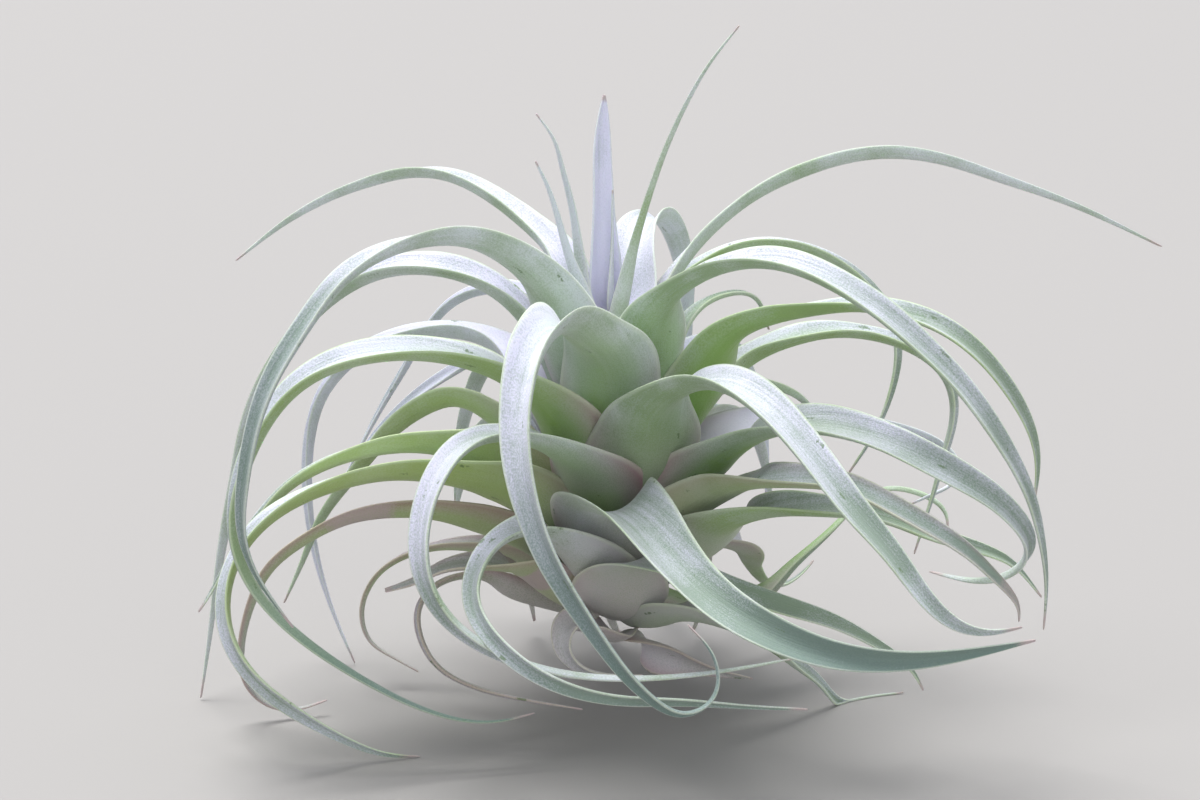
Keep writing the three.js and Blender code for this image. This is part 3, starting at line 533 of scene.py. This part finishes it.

# The low frost values of most lower leaves are partly their own greyer tissue and partly painted shade
# on the low part of the plant, under the leaves above.
lowerLeaves = [
    {"rootHeight": 32, "base": 23, "blade": 14, "fall": 48, "tone": "silver", "frost": 0.3, "greyTipAndShade": 0.7,
     "route": [(2, -19, 39), (1, -25, 47), (1, -31, 55), (3, -38, 59), (8, -48, 59), (13, -58, 56),
      (19, -67, 52), (26, -75, 48), (37, -83, 44), (50, -88, 41), (65, -89, 40), (80, -87, 41),
      (95, -84, 43)]},
    {"rootHeight": 36, "base": 21, "blade": 11, "fall": 40, "tone": "silver", "frost": 0.6,
     "frostBelow": 0.5, "rim": 0.3, "bulb": 0.85, "fresh": 0.1, "yellow": 0.5,
     "dryPatches": [(0.86, 1.0, 0.6)],
     "route": [(16, -14, 44), (22, -20, 52), (28, -29, 59), (35, -42, 66), (45, -51, 69), (55, -58, 70),
      (64, -63, 67), (73, -66, 63), (81, -66, 58), (88, -64, 51), (94, -60, 44), (95, -55, 38)]},
    {"rootHeight": 29, "base": 20, "blade": 10, "fall": 40, "tone": "green", "frost": 0.55,
     "frostBelow": 0.35, "bulb": 0.7, "fresh": 0.15,
     "route": [(17, -10, 34), (24, -18, 42), (30, -29, 52), (40, -37, 58), (51, -43, 60), (64, -47, 60),
      (75, -48, 56), (85, -47, 53), (94, -45, 49), (99, -42, 43), (102, -40, 39)]},
    {"rootHeight": 36, "base": 20, "blade": 10.5, "fall": 40, "twist": [0, 35, 30, -10, -45, -50],
     "tone": "green", "frost": 1.0, "fresh": 0.6, "yellow": 0.6,
     "route": [(-9, -10, 43), (-14, -15, 50), (-22, -20, 57), (-30, -25, 61), (-41, -28, 64),
      (-51, -31, 65), (-61, -33, 63), (-70, -35, 60), (-78, -37, 55), (-83, -39, 49), (-86, -42, 41),
      (-86, -44, 34), (-83, -46, 26), (-77, -47, 19), (-67, -46, 11), (-57, -44, 4.5), (-50, -42.5, 1),
      (-42, -40.5, 0.2)]},
    {"rootHeight": 29, "base": 16, "blade": 8, "fall": 35, "twist": [0, 30, 30, 20, 0], "tone": "old",
     "rim": 0.7, "fresh": 0.6, "yellow": 0.4, "greyTipAndShade": 0.3,
     "dryPatches": [(0.36, 0.52, 0.75), (0.56, 0.64, 0.4)],
     "route": [(-8, -4, 33), (-14, -7, 38), (-21, -9, 43), (-29, -12, 47), (-39, -15, 51),
      (-50, -17, 52), (-60, -19, 51), (-70, -20, 46), (-78, -21, 40), (-82, -21, 32), (-85, -20, 22),
      (-85, -18, 11), (-81, -16, 5), (-75, -14, 2), (-66, -11, 4)]},
    {"rootHeight": 28, "base": 25, "blade": 6.5, "fall": 30, "tone": "silver", "frost": 0.65,
     "frostBelow": 0.6, "bulb": 0.6, "blush": 0.3, "greyTipAndShade": 0.35,
     "marks": [(45, -0.6, 5), (40, -0.8, 4)],
     "route": [(-2, -19, 34), (-6, -25, 42), (-10, -32, 49), (-16, -41, 55), (-24, -52, 55),
      (-28, -63, 50), (-27, -73, 45), (-20, -81, 39), (-11, -85, 34), (2, -85, 30), (18, -81, 28),
      (33, -79, 26), (46, -78, 25)]},
    {"rootHeight": 30, "base": 15, "blade": 5, "twist": [0, -30, -30, 0], "tone": "green",
     "frost": 0.15, "fresh": 1.0,
     "route": [(16, 5, 27), (26, 9, 24), (40, 14, 25), (47, 20, 29), (57, 28, 35), (66, 34, 42),
      (73, 38, 44), (82, 38, 42), (88, 36, 38), (88, 34, 34)]},
    {"rootHeight": 27, "base": 14, "blade": 4.5, "tone": "old", "rim": 0.5, "fresh": 0.5, "yellow": 0.3,
     "route": [(-6, 5, 30), (-13, 6, 32), (-21, 7, 34), (-30, 8, 36), (-39, 10, 36), (-48, 12, 33),
      (-55, 13, 28), (-59, 13, 19), (-57, 12, 11), (-52, 11, 8), (-45, 10, 4)]},
    {"rootHeight": 23, "base": 22, "blade": 9, "fall": 30, "cup": [0.2, 0.12, 0.1, 0.2, 0.25],
     "tone": "green", "clean": True, "frost": 0.6, "frostBelow": 0.7, "bulb": 1.0, "blush": 0.3,
     "fresh": 0.0,
     "route": [(5, -17, 28), (5, -24, 37), (8, -31, 45), (16, -37, 46), (25, -42, 43.5), (41, -46, 39),
      (54, -47, 35), (66, -46, 28), (72, -44, 23), (75, -42, 17)]},
    {"rootHeight": 21, "base": 15, "blade": 6, "fall": 26, "twist": [0, -30, -30, 0, 0],
     "tone": "green", "frostBelow": 0.8, "bulb": 0.5, "blush": 0.1, "fresh": 0.35,
     "route": [(14, -12, 23), (20, -19, 27), (28, -22, 27), (37, -19, 22), (45, -14, 15), (53, -7, 7),
      (58, -3, 0.3), (63, 0.5, -0.9), (69, 3.5, -0.8), (75, 5, 0.4)]},
    {"rootHeight": 24, "base": 15, "blade": 8, "fall": 30, "tone": "old", "rim": 0.4, "yellow": 0.5,
     "dryPatches": [(0.3, 0.5, 0.8)],
     "route": [(-8, -12, 28), (-13, -17, 33), (-17, -22, 38), (-22, -28, 42), (-29, -32, 44),
      (-36, -34, 44), (-43, -35, 41), (-50, -35, 39)]},
    {"rootHeight": 22, "base": 9, "blade": 3.6, "tone": "old", "rim": 0.5,
     "route": [(-7, -2, 23), (-13, -5, 26), (-20, -10, 30), (-27, -15, 36), (-34, -18, 37),
      (-40, -21, 35), (-43, -25, 31), (-42, -28, 25), (-38, -31, 19), (-29, -34, 15), (-19, -36, 13),
      (-4, -38, 11)]},
    {"rootHeight": 19, "base": 12, "blade": 6, "tone": "old", "blush": 0.3,
     "route": [(2, -13, 20), (-1, -19, 23), (-5, -26, 27), (-8, -31, 28), (-8, -34, 24), (-4, -35, 20),
      (3, -34, 18), (10, -31, 17)]},
    {"rootHeight": 20, "base": 10, "blade": 5, "tone": "old",
     "route": [(10, -10, 19), (15, -12, 17), (21, -12, 14), (28, -10, 11), (37, -7, 8)]},
]

backLeaves = [
    {"rootHeight": 58, "base": 11, "blade": 10.5, "fall": 28, "tone": "lilac", "frost": 0.5,
     "route": [(4, 11, 68), (5, 18, 79), (4, 29, 87), (3, 45, 85), (2, 59, 75), (1, 69, 59),
      (0, 75, 41), (-2, 78, 25), (-6, 76, 12)]},
    {"rootHeight": 47, "base": 11, "blade": 10.5, "fall": 28, "tone": "silver", "frost": 0.6,
     "route": [(5, 11, 56), (7, 18, 66), (12, 30, 76), (16, 45, 77), (18, 59, 69), (20, 69, 54),
      (21, 75, 37), (20, 78, 19), (16, 77, 6)]},
    {"rootHeight": 43, "base": 13, "blade": 10.5, "fall": 28, "tone": "lilac", "frost": 0.5,
     "route": [(-2, 11, 52), (-4, 18, 61), (-6, 30, 70), (-8, 45, 73), (-11, 59, 66), (-13, 69, 53),
      (-14, 75, 36), (-13, 78, 18), (-10, 77, 6)]},
    {"rootHeight": 54, "base": 13, "blade": 9.5, "fall": 28, "tone": "lilac", "frost": 0.5,
     "route": [(11, 10, 65), (17, 17, 74), (24, 28, 80), (30, 39, 80), (35, 52, 73), (40, 61, 60),
      (43, 67, 45), (44, 70, 31)]},
    {"rootHeight": 52, "base": 10, "blade": 9.5, "fall": 28, "tone": "silver", "frost": 0.6,
     "route": [(-4, 11, 62), (-9, 18, 71), (-15, 28, 77), (-22, 39, 78), (-29, 50, 71), (-34, 59, 58),
      (-37, 65, 44), (-38, 68, 30)]},
    {"rootHeight": 40, "base": 12, "blade": 9.5, "fall": 28, "tone": "silver", "frost": 0.6,
     "route": [(12, 11, 50), (17, 19, 59), (24, 30, 64), (32, 42, 62), (39, 53, 54), (43, 60, 42),
      (45, 64, 31)]},
    {"rootHeight": 38, "base": 13, "blade": 9.5, "fall": 28, "tone": "silver", "frost": 0.6,
     "route": [(-5, 11, 47), (-11, 18, 55), (-18, 29, 60), (-25, 41, 60), (-31, 52, 53), (-35, 60, 42),
      (-38, 65, 29)]},
    {"rootHeight": 35, "base": 14, "blade": 9.5, "fall": 28, "tone": "lilac", "frost": 0.5,
     "route": [(4, 12, 42), (6, 19, 49), (11, 30, 52), (13, 43, 48), (15, 54, 38), (16, 62, 25),
      (16, 66, 11), (15, 68, 3), (13, 73, 0.2)]},
    {"rootHeight": 30, "base": 15, "blade": 9.5, "fall": 28, "tone": "silver", "frost": 0.6,
     "route": [(2, 11, 36), (0, 18, 41), (-3, 30, 44), (-7, 43, 41), (-10, 54, 33), (-12, 62, 21),
      (-12, 66, 10), (-9, 66, 0.5)]},
    {"rootHeight": 28, "base": 14, "blade": 8, "fall": 26, "tone": "old",
     "route": [(12, 9, 32), (16, 16, 36), (20, 26, 37), (24, 36, 31), (26, 43, 20), (26, 47, 9),
      (24, 48, 2)]},
    {"rootHeight": 26, "base": 14, "blade": 8, "fall": 26, "tone": "old",
     "route": [(-1, 10, 30), (-5, 16, 33), (-10, 26, 35), (-14, 36, 32), (-17, 45, 24), (-18, 50, 12),
      (-17, 51, 4)]},
    {"rootHeight": 22, "base": 14, "blade": 8, "fall": 26, "tone": "old",
     "route": [(6, 11, 24), (6, 18, 27), (5, 28, 28), (4, 37, 23), (3, 43, 14), (3, 46, 6),
      (5, 46, 2)]},
    {"rootHeight": 33, "base": 16, "blade": 6, "fall": 26, "tone": "green",
     "route": [(17, 3, 37), (25, 8, 38), (33, 17, 34), (37, 28, 26), (42, 35, 19), (47, 40, 17),
      (52, 44, 19), (55, 46, 22)]},
]

leafShape = {
    "stations": 96, "cellsAcross": 8,
    "middleThickness": 1.1, "marginThickness": 0.6, "tipThickness": 0.4, "thinTip": (0.8, 1.0),
    "thinnestShare": 0.35,  # middle thickness of a leaf of no width, as a share of the full one
    "thickeningWidth": 8.0,  # with this much more width a leaf gains the whole of it
    "rootGap": 0.9, "tipWidth": 0.5, "neckShare": 0.9, "taperPower": 1.7,
    "sheathRise": 15.0, "riseShare": 0.25,  # the rise takes no more than this share of a short leaf
    "sheathFall": 20.0, "fallShare": 0.3, "fallPower": 2,
    "cup": [0.32, 0.32, 0.36, 0.34, 0.3, 0.25], "turnOutward": 0.6,
    "round": 14,  # passes that even out the midline and its normals
    "waveHeight": 0.012, "waveLengths": (24, 36), "waveSkew": 1.5,
    "mapStep": 0.2,  # metres between the maps of two leaves, so that no two have the same frost
}
fullTurn = 6.28
curveSteps = 30

# The stem's profile is radius and height. Its foot lies at footX, and it leans to the left.
stemShape = {
    "profile": [(5.5, 22), (7.6, 26), (8.2, 44), (6.8, 62), (4.6, 77), (2.2, 87), (1.2, 91)],
    "footX": 6.0,
    "lean": 0.075,
    "sides": 40, "edge": 0.8, "edgeSteps": 3,
}


def stemCentre(height):
    footHeight = stemShape["profile"][0][1]
    return np.array([stemShape["footX"] - stemShape["lean"] * (height - footHeight), 0.0, height])


def stemRadius(height):
    heights = [level for radius, level in stemShape["profile"]]
    radii = [radius for radius, level in stemShape["profile"]]
    return np.interp(height, heights, radii)


def unit(vector):
    return vector / np.linalg.norm(vector)


def rounded(values, passes):
    # Evens out a row of points or directions, with its two ends held.
    values = values.copy()
    for _ in range(passes):
        values[1:-1] = 0.25 * values[:-2] + 0.5 * values[1:-1] + 0.25 * values[2:]
    return values


def smoothWay(points, stations):
    # A smooth curve through the points, as places at even distances, and its length.
    ends = [2 * points[0] - points[1], *points, 2 * points[-1] - points[-2]]
    knots = np.array(ends)
    share = np.linspace(0, 1, curveSteps, endpoint=False)[:, None]
    pieces = []
    for i in range(1, len(knots) - 2):
        before, here, there, after = knots[i - 1:i + 3]
        pairs = ((before, here), (here, there), (there, after))
        first, middle, last = [math.sqrt(np.linalg.norm(end - start)) for start, end in pairs]
        middleWay = (there - here) / middle
        leaving = (here - before) / first - (there - before) / (first + middle) + middleWay
        arriving = middleWay - (after - here) / (middle + last) + (after - there) / last
        leaving = leaving * middle
        arriving = arriving * middle
        square = -3 * here + 3 * there - 2 * leaving - arriving
        cube = 2 * here - 2 * there + leaving + arriving
        pieces.append(here + leaving * share + square * share ** 2 + cube * share ** 3)
    way = np.concatenate([*pieces, knots[-2:-1]])
    reach = np.concatenate([[0.0], np.cumsum(np.linalg.norm(np.diff(way, axis=0), axis=1))])
    even = np.linspace(0, reach[-1], stations + 1)
    return np.column_stack([np.interp(even, reach, way[:, k]) for k in range(3)]), reach[-1]


def turned(vector, axis, angle):
    return (
        vector * math.cos(angle)
        + np.cross(axis, vector) * math.sin(angle)
        + axis * np.dot(axis, vector) * (1 - math.cos(angle))
    )


def leafMidline(facts):
    # Places, directions and upper-face normals at even distances along a leaf, and its length.
    stations = leafShape["stations"]
    centre = stemCentre(facts["rootHeight"])
    route = [np.array(point, dtype=float) for point in facts["route"]]
    outward = route[0] - centre
    outward[2] = 0
    root = centre + unit(outward) * (stemRadius(facts["rootHeight"]) + leafShape["rootGap"])
    places, length = smoothWay([root, *route], stations)
    places = rounded(places, facts.get("round", leafShape["round"]))
    spread = [places[min(i + 1, stations)] - places[max(i - 1, 0)] for i in range(stations + 1)]
    spread = np.array(spread)
    tangents = spread / np.linalg.norm(spread, axis=1)[:, None]
    normal = unit(centre - root)
    normals = []
    for i, tangent in enumerate(tangents):
        bend = tangents[min(i + 1, stations)] - tangents[max(i - 1, 0)]
        normal = normal - bend * leafShape["turnOutward"]
        normal = unit(normal - tangent * np.dot(normal, tangent))
        normals.append(normal)
    normals = rounded(np.array(normals), leafShape["round"])
    twist = facts.get("twist", [0, 0])
    steps = np.linspace(0, 1, len(twist))
    for i, tangent in enumerate(tangents):
        straight = unit(normals[i] - tangent * np.dot(normals[i], tangent))
        angle = math.radians(np.interp(i / stations, steps, twist))
        normals[i] = turned(straight, tangent, angle)
    return places, tangents, normals, length


def leafWidths(facts, share, length):
    distance = share * length
    rise = min(leafShape["sheathRise"], leafShape["riseShare"] * length)
    fall = facts.get("fall", min(leafShape["sheathFall"], leafShape["fallShare"] * length))
    climb = np.clip(distance / rise, 0, 1)
    neck = leafShape["neckShare"] + (1 - leafShape["neckShare"]) * climb ** 2 * (3 - 2 * climb)
    power = facts.get("fallPower", leafShape["fallPower"])
    sheath = facts["base"] * neck * np.exp(-(np.maximum(distance - rise, 0) / fall) ** power)
    blade = facts["blade"] * (1 - share ** facts.get("taper", leafShape["taperPower"]))
    return np.hypot(sheath, blade * climb) + leafShape["tipWidth"] * share


def smoothStep(low, high, value):
    step = np.clip((value - low) / (high - low), 0, 1)
    return step ** 2 * (3 - 2 * step)


# What a leaf has unless its own facts say otherwise.
plainTints = {
    "frost": 0.85, "frostBelow": 0.5, "fresh": 0.0, "blush": 0.5, "rim": 0.0, "greyTipAndShade": 0.0,
    "yellow": 0.0, "marks": [], "dryPatches": [],
}
# How much of a tint there is, and the two ends between which it comes in: millimetres from the root
# or up the stem, or shares of the leaf's length or of the way from its middle to its edge.
tintSteps = {
    "tipFrostLossAndShade": (0.5, 0.36, 0.72), "middleFrostLoss": (0.22, 0.3, 0.6),
    "edgeFrostGain": (0.5, 60, 20), "farFrostLoss": (0.12, 20, 60), "tipFrostGain": (0.4, 0.45, 0.8),
    "freshLoss": (0.85, 0.3, 0.85), "freshReach": (1, 95, 35),
    "bulbHeight": (0.7, 62, 34), "bulbReach": (1, 46, 20),
    "blushEdge": (1, 0.62, 0.97), "blushReach": (1, 46, 18), "rimEdge": (1, 0.6, 0.95),
    # The first step below darkens the outer, hanging part of a leaf, partly as its own colour and
    # partly as painted shade.
    "greyTipAndShadeAlong": (1, 0.45, 0.75), "yellowFrom": (1, 0.08, 0.2), "yellowTo": (1, 0.85, 0.6),
    "dryTip": (1, 0.95, 1.0), "patchFade": (1, 1.0, 0.5),
}
markCore = 0.4  # share of a mark's reach within which it is full


def tintStep(name, value):
    amount, low, high = tintSteps[name]
    return amount * smoothStep(low, high, value)


def leafTints(facts, share, across, distance):
    # How frosted, blushed, bulb-grey, yellow and dry the leaf is at each of its points, and how much
    # darker grey green it is towards the tip, partly its own colour and partly painted shade.
    facts = plainTints | facts
    edge = np.abs(across)
    # The upper frost thins towards the tip, partly as the leaf's own frost and partly as painted shade
    # on the descending blades.
    frost = facts["frost"] - tintStep("tipFrostLossAndShade", share)
    frost = frost - (1 - edge ** 2) * tintStep("middleFrostLoss", share)
    below = facts["frostBelow"] + edge ** 3 * tintStep("edgeFrostGain", distance)
    below = below - tintStep("farFrostLoss", distance) + tintStep("tipFrostGain", share)
    fresh = facts["fresh"] * (1 - tintStep("freshLoss", edge)) * tintStep("freshReach", distance)
    bulb = facts.get("bulb", tintStep("bulbHeight", facts["rootHeight"]))
    bulb = bulb * tintStep("bulbReach", distance)
    blush = facts["blush"] * tintStep("blushEdge", edge) * tintStep("blushReach", distance)
    blush = np.maximum(blush, facts["rim"] * tintStep("rimEdge", edge))
    # Darker towards the tip: partly the leaf's own colour, partly painted shade on the hanging end.
    greyTipAndShade = facts["greyTipAndShade"] * tintStep("greyTipAndShadeAlong", share)
    yellow = facts["yellow"] * tintStep("yellowFrom", share) * tintStep("yellowTo", share)
    dry = tintStep("dryTip", share)
    marked = np.full_like(share, -1.0 if facts.get("clean") else 0.0)
    for place, side, reach in facts["marks"]:
        away = np.hypot(distance - place, (across - side) * facts["blade"] / 2)
        marked = np.maximum(marked, smoothStep(reach, markCore * reach, away))
    for start, end, strength in facts["dryPatches"]:
        away = np.abs(share - (start + end) / 2) / ((end - start) / 2)
        dry = np.maximum(dry, strength * tintStep("patchFade", away))
    tints = {"frost": frost, "frostBelow": below, "fresh": fresh, "bulb": bulb}
    return tints | {"blush": blush, "greyTipAndShade": greyTipAndShade, "yellow": yellow, "dry": dry, "marked": marked}


def layAttribute(mesh, name, values):
    layer = mesh.attributes.new(name, "FLOAT", "POINT")
    layer.data.foreach_set("value", np.broadcast_to(values, len(mesh.vertices)).astype(np.float32))


def applyModifiers(piece):
    for modifier in list(piece.modifiers):
        bpy.ops.object.modifier_apply(modifier=modifier.name)


def leafThickness(share, across, widths):
    # Thickest in the middle of a broad leaf, and thin at the margins and the tip.
    margin = leafShape["marginThickness"]
    taper = np.minimum(1, leafShape["thinnestShare"] + widths / leafShape["thickeningWidth"])
    middle = np.maximum(leafShape["middleThickness"] * taper, margin)
    thickness = margin + (middle - margin) * (1 - across ** 2)
    thin = smoothStep(*leafShape["thinTip"], share)
    return thickness * (1 - thin) + leafShape["tipThickness"] * thin


def thicken(piece, thickness):
    group = piece.vertex_groups.new(name="thickness")
    for vertex, value in enumerate(thickness / leafShape["middleThickness"]):
        group.add([vertex], value, "REPLACE")
    solid = piece.modifiers.new("thickness", "SOLIDIFY")
    solid.thickness = leafShape["middleThickness"] * mm
    solid.offset = 0
    solid.vertex_group = "thickness"
    solid.use_rim = True
    solid.material_offset = 1
    solid.material_offset_rim = 1
    soft = piece.modifiers.new("soft", "SUBSURF")
    soft.levels = 1
    soft.render_levels = 1
    applyModifiers(piece)


def addLeaf(name, node, facts, number):
    # A flat grid is laid along the leaf's midline, then given its thickness and rounded.
    stations = leafShape["stations"]
    cells = leafShape["cellsAcross"]
    bpy.ops.object.select_all(action="DESELECT")
    bpy.ops.mesh.primitive_grid_add(x_subdivisions=cells, y_subdivisions=stations, size=2)
    piece = bpy.context.object
    piece.name = name
    piece.data.name = name
    mesh = piece.data
    flat = np.empty(len(mesh.vertices) * 3)
    mesh.vertices.foreach_get("co", flat)
    flat = flat.reshape(-1, 3)
    across = flat[:, 0]
    share = (flat[:, 1] + 1) / 2
    rows = np.rint(share * stations).astype(int)
    places, tangents, normals, length = leafMidline(facts)
    widths = leafWidths(facts, np.linspace(0, 1, stations + 1), length)[rows]
    acrossWays = np.cross(tangents, normals)[rows]
    cups = facts.get("cup", leafShape["cup"])
    cup = np.interp(share, np.linspace(0, 1, len(cups)), cups)
    draw = random.Random(number)
    waveLength = draw.uniform(*leafShape["waveLengths"])
    waveStart = draw.uniform(0, fullTurn)
    waveWay = share * length / waveLength * fullTurn + waveStart + leafShape["waveSkew"] * across
    wave = leafShape["waveHeight"] * np.sin(waveWay)
    points = places[rows] + acrossWays * (across * widths / 2)[:, None]
    points = points + normals[rows] * ((cup + wave) * widths * across ** 2)[:, None]
    points = points + plantShift
    points[:, 2] = np.maximum(points[:, 2], leafShape["marginThickness"] / 2)
    mesh.vertices.foreach_set("co", (points * mm).ravel())
    distance = share * length
    layAttribute(mesh, "across", across)
    for label, values in leafTints(facts, share, across, distance).items():
        layAttribute(mesh, label, values)
    # The leaf's own map is in metres: across it, and along it from the root.
    uvMap = mesh.uv_layers[0]
    uvMap.name = "leafUV"
    corners = np.empty(len(mesh.loops), dtype=int)
    mesh.loops.foreach_get("vertex_index", corners)
    mapAcross = across * widths / 2 * mm + leafShape["mapStep"] * number
    flatMap = np.column_stack([mapAcross, distance * mm])[corners]
    uvMap.data.foreach_set("uv", flatMap.ravel())
    tone = facts["tone"]
    mesh.materials.append(leafMaterials[tone + "Upper"])
    mesh.materials.append(leafMaterials[tone + "Lower"])
    thicken(piece, leafThickness(share, across, widths))
    for vertex in piece.data.vertices:
        vertex.co.z = max(vertex.co.z, 0)
    bpy.ops.object.shade_smooth()
    piece.vertex_groups.clear()
    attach(piece, "root")
    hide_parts(node)


leafTiers = {
    "heart": heartLeaves,
    "high": highLeaves,
    "middle": middleLeaves,
    "lower": lowerLeaves,
    "back": backLeaves,
}
leafCount = 0
for tier, leaves in leafTiers.items():
    for i, facts in enumerate(leaves, start=1):
        leafCount += 1
        addLeaf(f"{tier}Leaf{i}", f"leaf_{tier}_{i}", facts, leafCount)
    print(tier, "leaves made:", len(leaves))


# Stem

stemBark = {
    "dark": rgb(118, 112, 92), "light": rgb(170, 166, 142), "roughness": 0.85,
    "young": rgb(168, 186, 150), "youngHeights": (0.045, 0.07),  # metres
    "grain": 1400.0, "contrast": 0.9, "ringStretch": (160.0, 160.0, 900.0),
    "reliefStrength": 0.7, "reliefDepth": 0.0004,
}


def stemMaterial():
    material, tree, shader = newMaterial("stemBark")
    place = addNode(tree, "TexCoord").outputs["Object"]
    grainInputs = {"Place": place, "Grain": stemBark["grain"], "Contrast": stemBark["contrast"]}
    grains = useGroup(tree, frostGrains, grainInputs)
    ringWay = scaled(tree, place, stemBark["ringStretch"])
    rings = addNode(tree, "TexNoise", {"Vector": ringWay, "Scale": 1.0})
    amount = calc(tree, "ADD", rings.outputs[0], grains["Mask"], clamp=True)
    bark = blendColour(tree, amount, stemBark["dark"], stemBark["light"])
    height = addNode(tree, "SeparateXYZ", {0: place}).outputs[2]
    youngness = ramp(tree, height, *stemBark["youngHeights"])
    colour = blendColour(tree, youngness, bark, stemBark["young"])
    relief = calc(tree, "ADD", rings.outputs[0], grains["Height"])
    bump = addNode(tree, "Bump", {
        "Height": relief,
        "Strength": stemBark["reliefStrength"],
        "Distance": stemBark["reliefDepth"],
    })
    inputs = {"Base Color": colour, "Roughness": stemBark["roughness"], "Normal": bump.outputs[0]}
    feed(tree, shader, inputs)
    return material


def addStem():
    bpy.ops.object.select_all(action="DESELECT")
    profile = stemShape["profile"]
    radius, height = profile[0]
    foot = (stemCentre(height) + plantShift) * mm
    bpy.ops.mesh.primitive_circle_add(
        vertices=stemShape["sides"], radius=radius * mm, fill_type="NGON", location=foot
    )
    piece = bpy.context.object
    piece.name = "stemCore"
    piece.data.name = "stemCore"
    bpy.ops.object.transform_apply(location=True, rotation=True, scale=True)
    bpy.ops.object.mode_set(mode="EDIT")
    bpy.ops.mesh.select_all(action="SELECT")
    for (lowRadius, low), (highRadius, high) in zip(profile, profile[1:]):
        rise = high - low
        move = (-stemShape["lean"] * rise * mm, 0, rise * mm)
        middle = (stemCentre(high) + plantShift) * mm
        bpy.ops.mesh.extrude_region_move(TRANSFORM_OT_translate={"value": move})
        size = highRadius / lowRadius
        bpy.ops.transform.resize(value=(size, size, 1), center_override=middle)
    bpy.ops.mesh.select_all(action="SELECT")
    bpy.ops.mesh.normals_make_consistent(inside=False)
    bpy.ops.object.mode_set(mode="OBJECT")
    edge = piece.modifiers.new("edge", "BEVEL")
    edge.width = stemShape["edge"] * mm
    edge.segments = stemShape["edgeSteps"]
    edge.limit_method = "ANGLE"
    applyModifiers(piece)
    bpy.ops.object.shade_smooth()
    piece.data.materials.append(stemMaterial())
    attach(piece, "root")
    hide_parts("stem")


addStem()
print("stem made")


# Floor and light, in metres and watts

floorFacts = {"size": 12, "colour": rgb(158, 155, 152), "roughness": 0.85}
lamps = {
    "keyLight": {"place": (-2.0, 2.0, 10.0), "size": 6.4, "power": 1552.0},
    "fillLight": {"place": (1.6, -9.6, 5.2), "size": 9.6, "power": 352.0},
    "backLight": {"place": (2.4, 7.2, 7.2), "size": 7.2, "power": 160.0},
}
lampAim = Vector((0, 0, 0.08))
room = {"glow": rgb(222, 227, 240), "strength": 0.64, "seen": rgb(255, 254, 252), "seenStrength": 0.52}


def addFloor():
    bpy.ops.object.select_all(action="DESELECT")
    bpy.ops.mesh.primitive_plane_add(size=floorFacts["size"])
    floor = bpy.context.object
    floor.name = "floor"
    material, tree, shader = newMaterial("paleFloor")
    feed(tree, shader, {"Base Color": floorFacts["colour"], "Roughness": floorFacts["roughness"]})
    floor.data.materials.append(material)


def addLamps():
    for name, facts in lamps.items():
        bpy.ops.object.light_add(type="AREA", location=facts["place"])
        lamp = bpy.context.object
        lamp.name = name
        lamp.data.energy = facts["power"]
        lamp.data.size = facts["size"]
        lamp.visible_camera = False
        aim = lampAim - Vector(facts["place"])
        lamp.rotation_euler = aim.to_track_quat("-Z", "Y").to_euler()


def addRoom():
    # The surroundings light the plant with one colour and are seen behind it in another.
    world = bpy.data.worlds.new("softRoom")
    world.use_nodes = True
    tree = world.node_tree
    glow = tree.nodes["Background"]
    feed(tree, glow, {0: room["glow"], 1: room["strength"]})
    seen = addNode(tree, "Background", {0: room["seen"], 1: room["seenStrength"]})
    direct = addNode(tree, "LightPath").outputs["Is Camera Ray"]
    both = addNode(tree, "MixShader", {0: direct, 1: glow.outputs[0], 2: seen.outputs[0]})
    tree.links.new(both.outputs[0], tree.nodes["World Output"].inputs[0])
    bpy.context.scene.world = world
    bpy.context.scene.view_settings.view_transform = "Standard"


addFloor()
addLamps()
addRoom()
print("floor and light set")
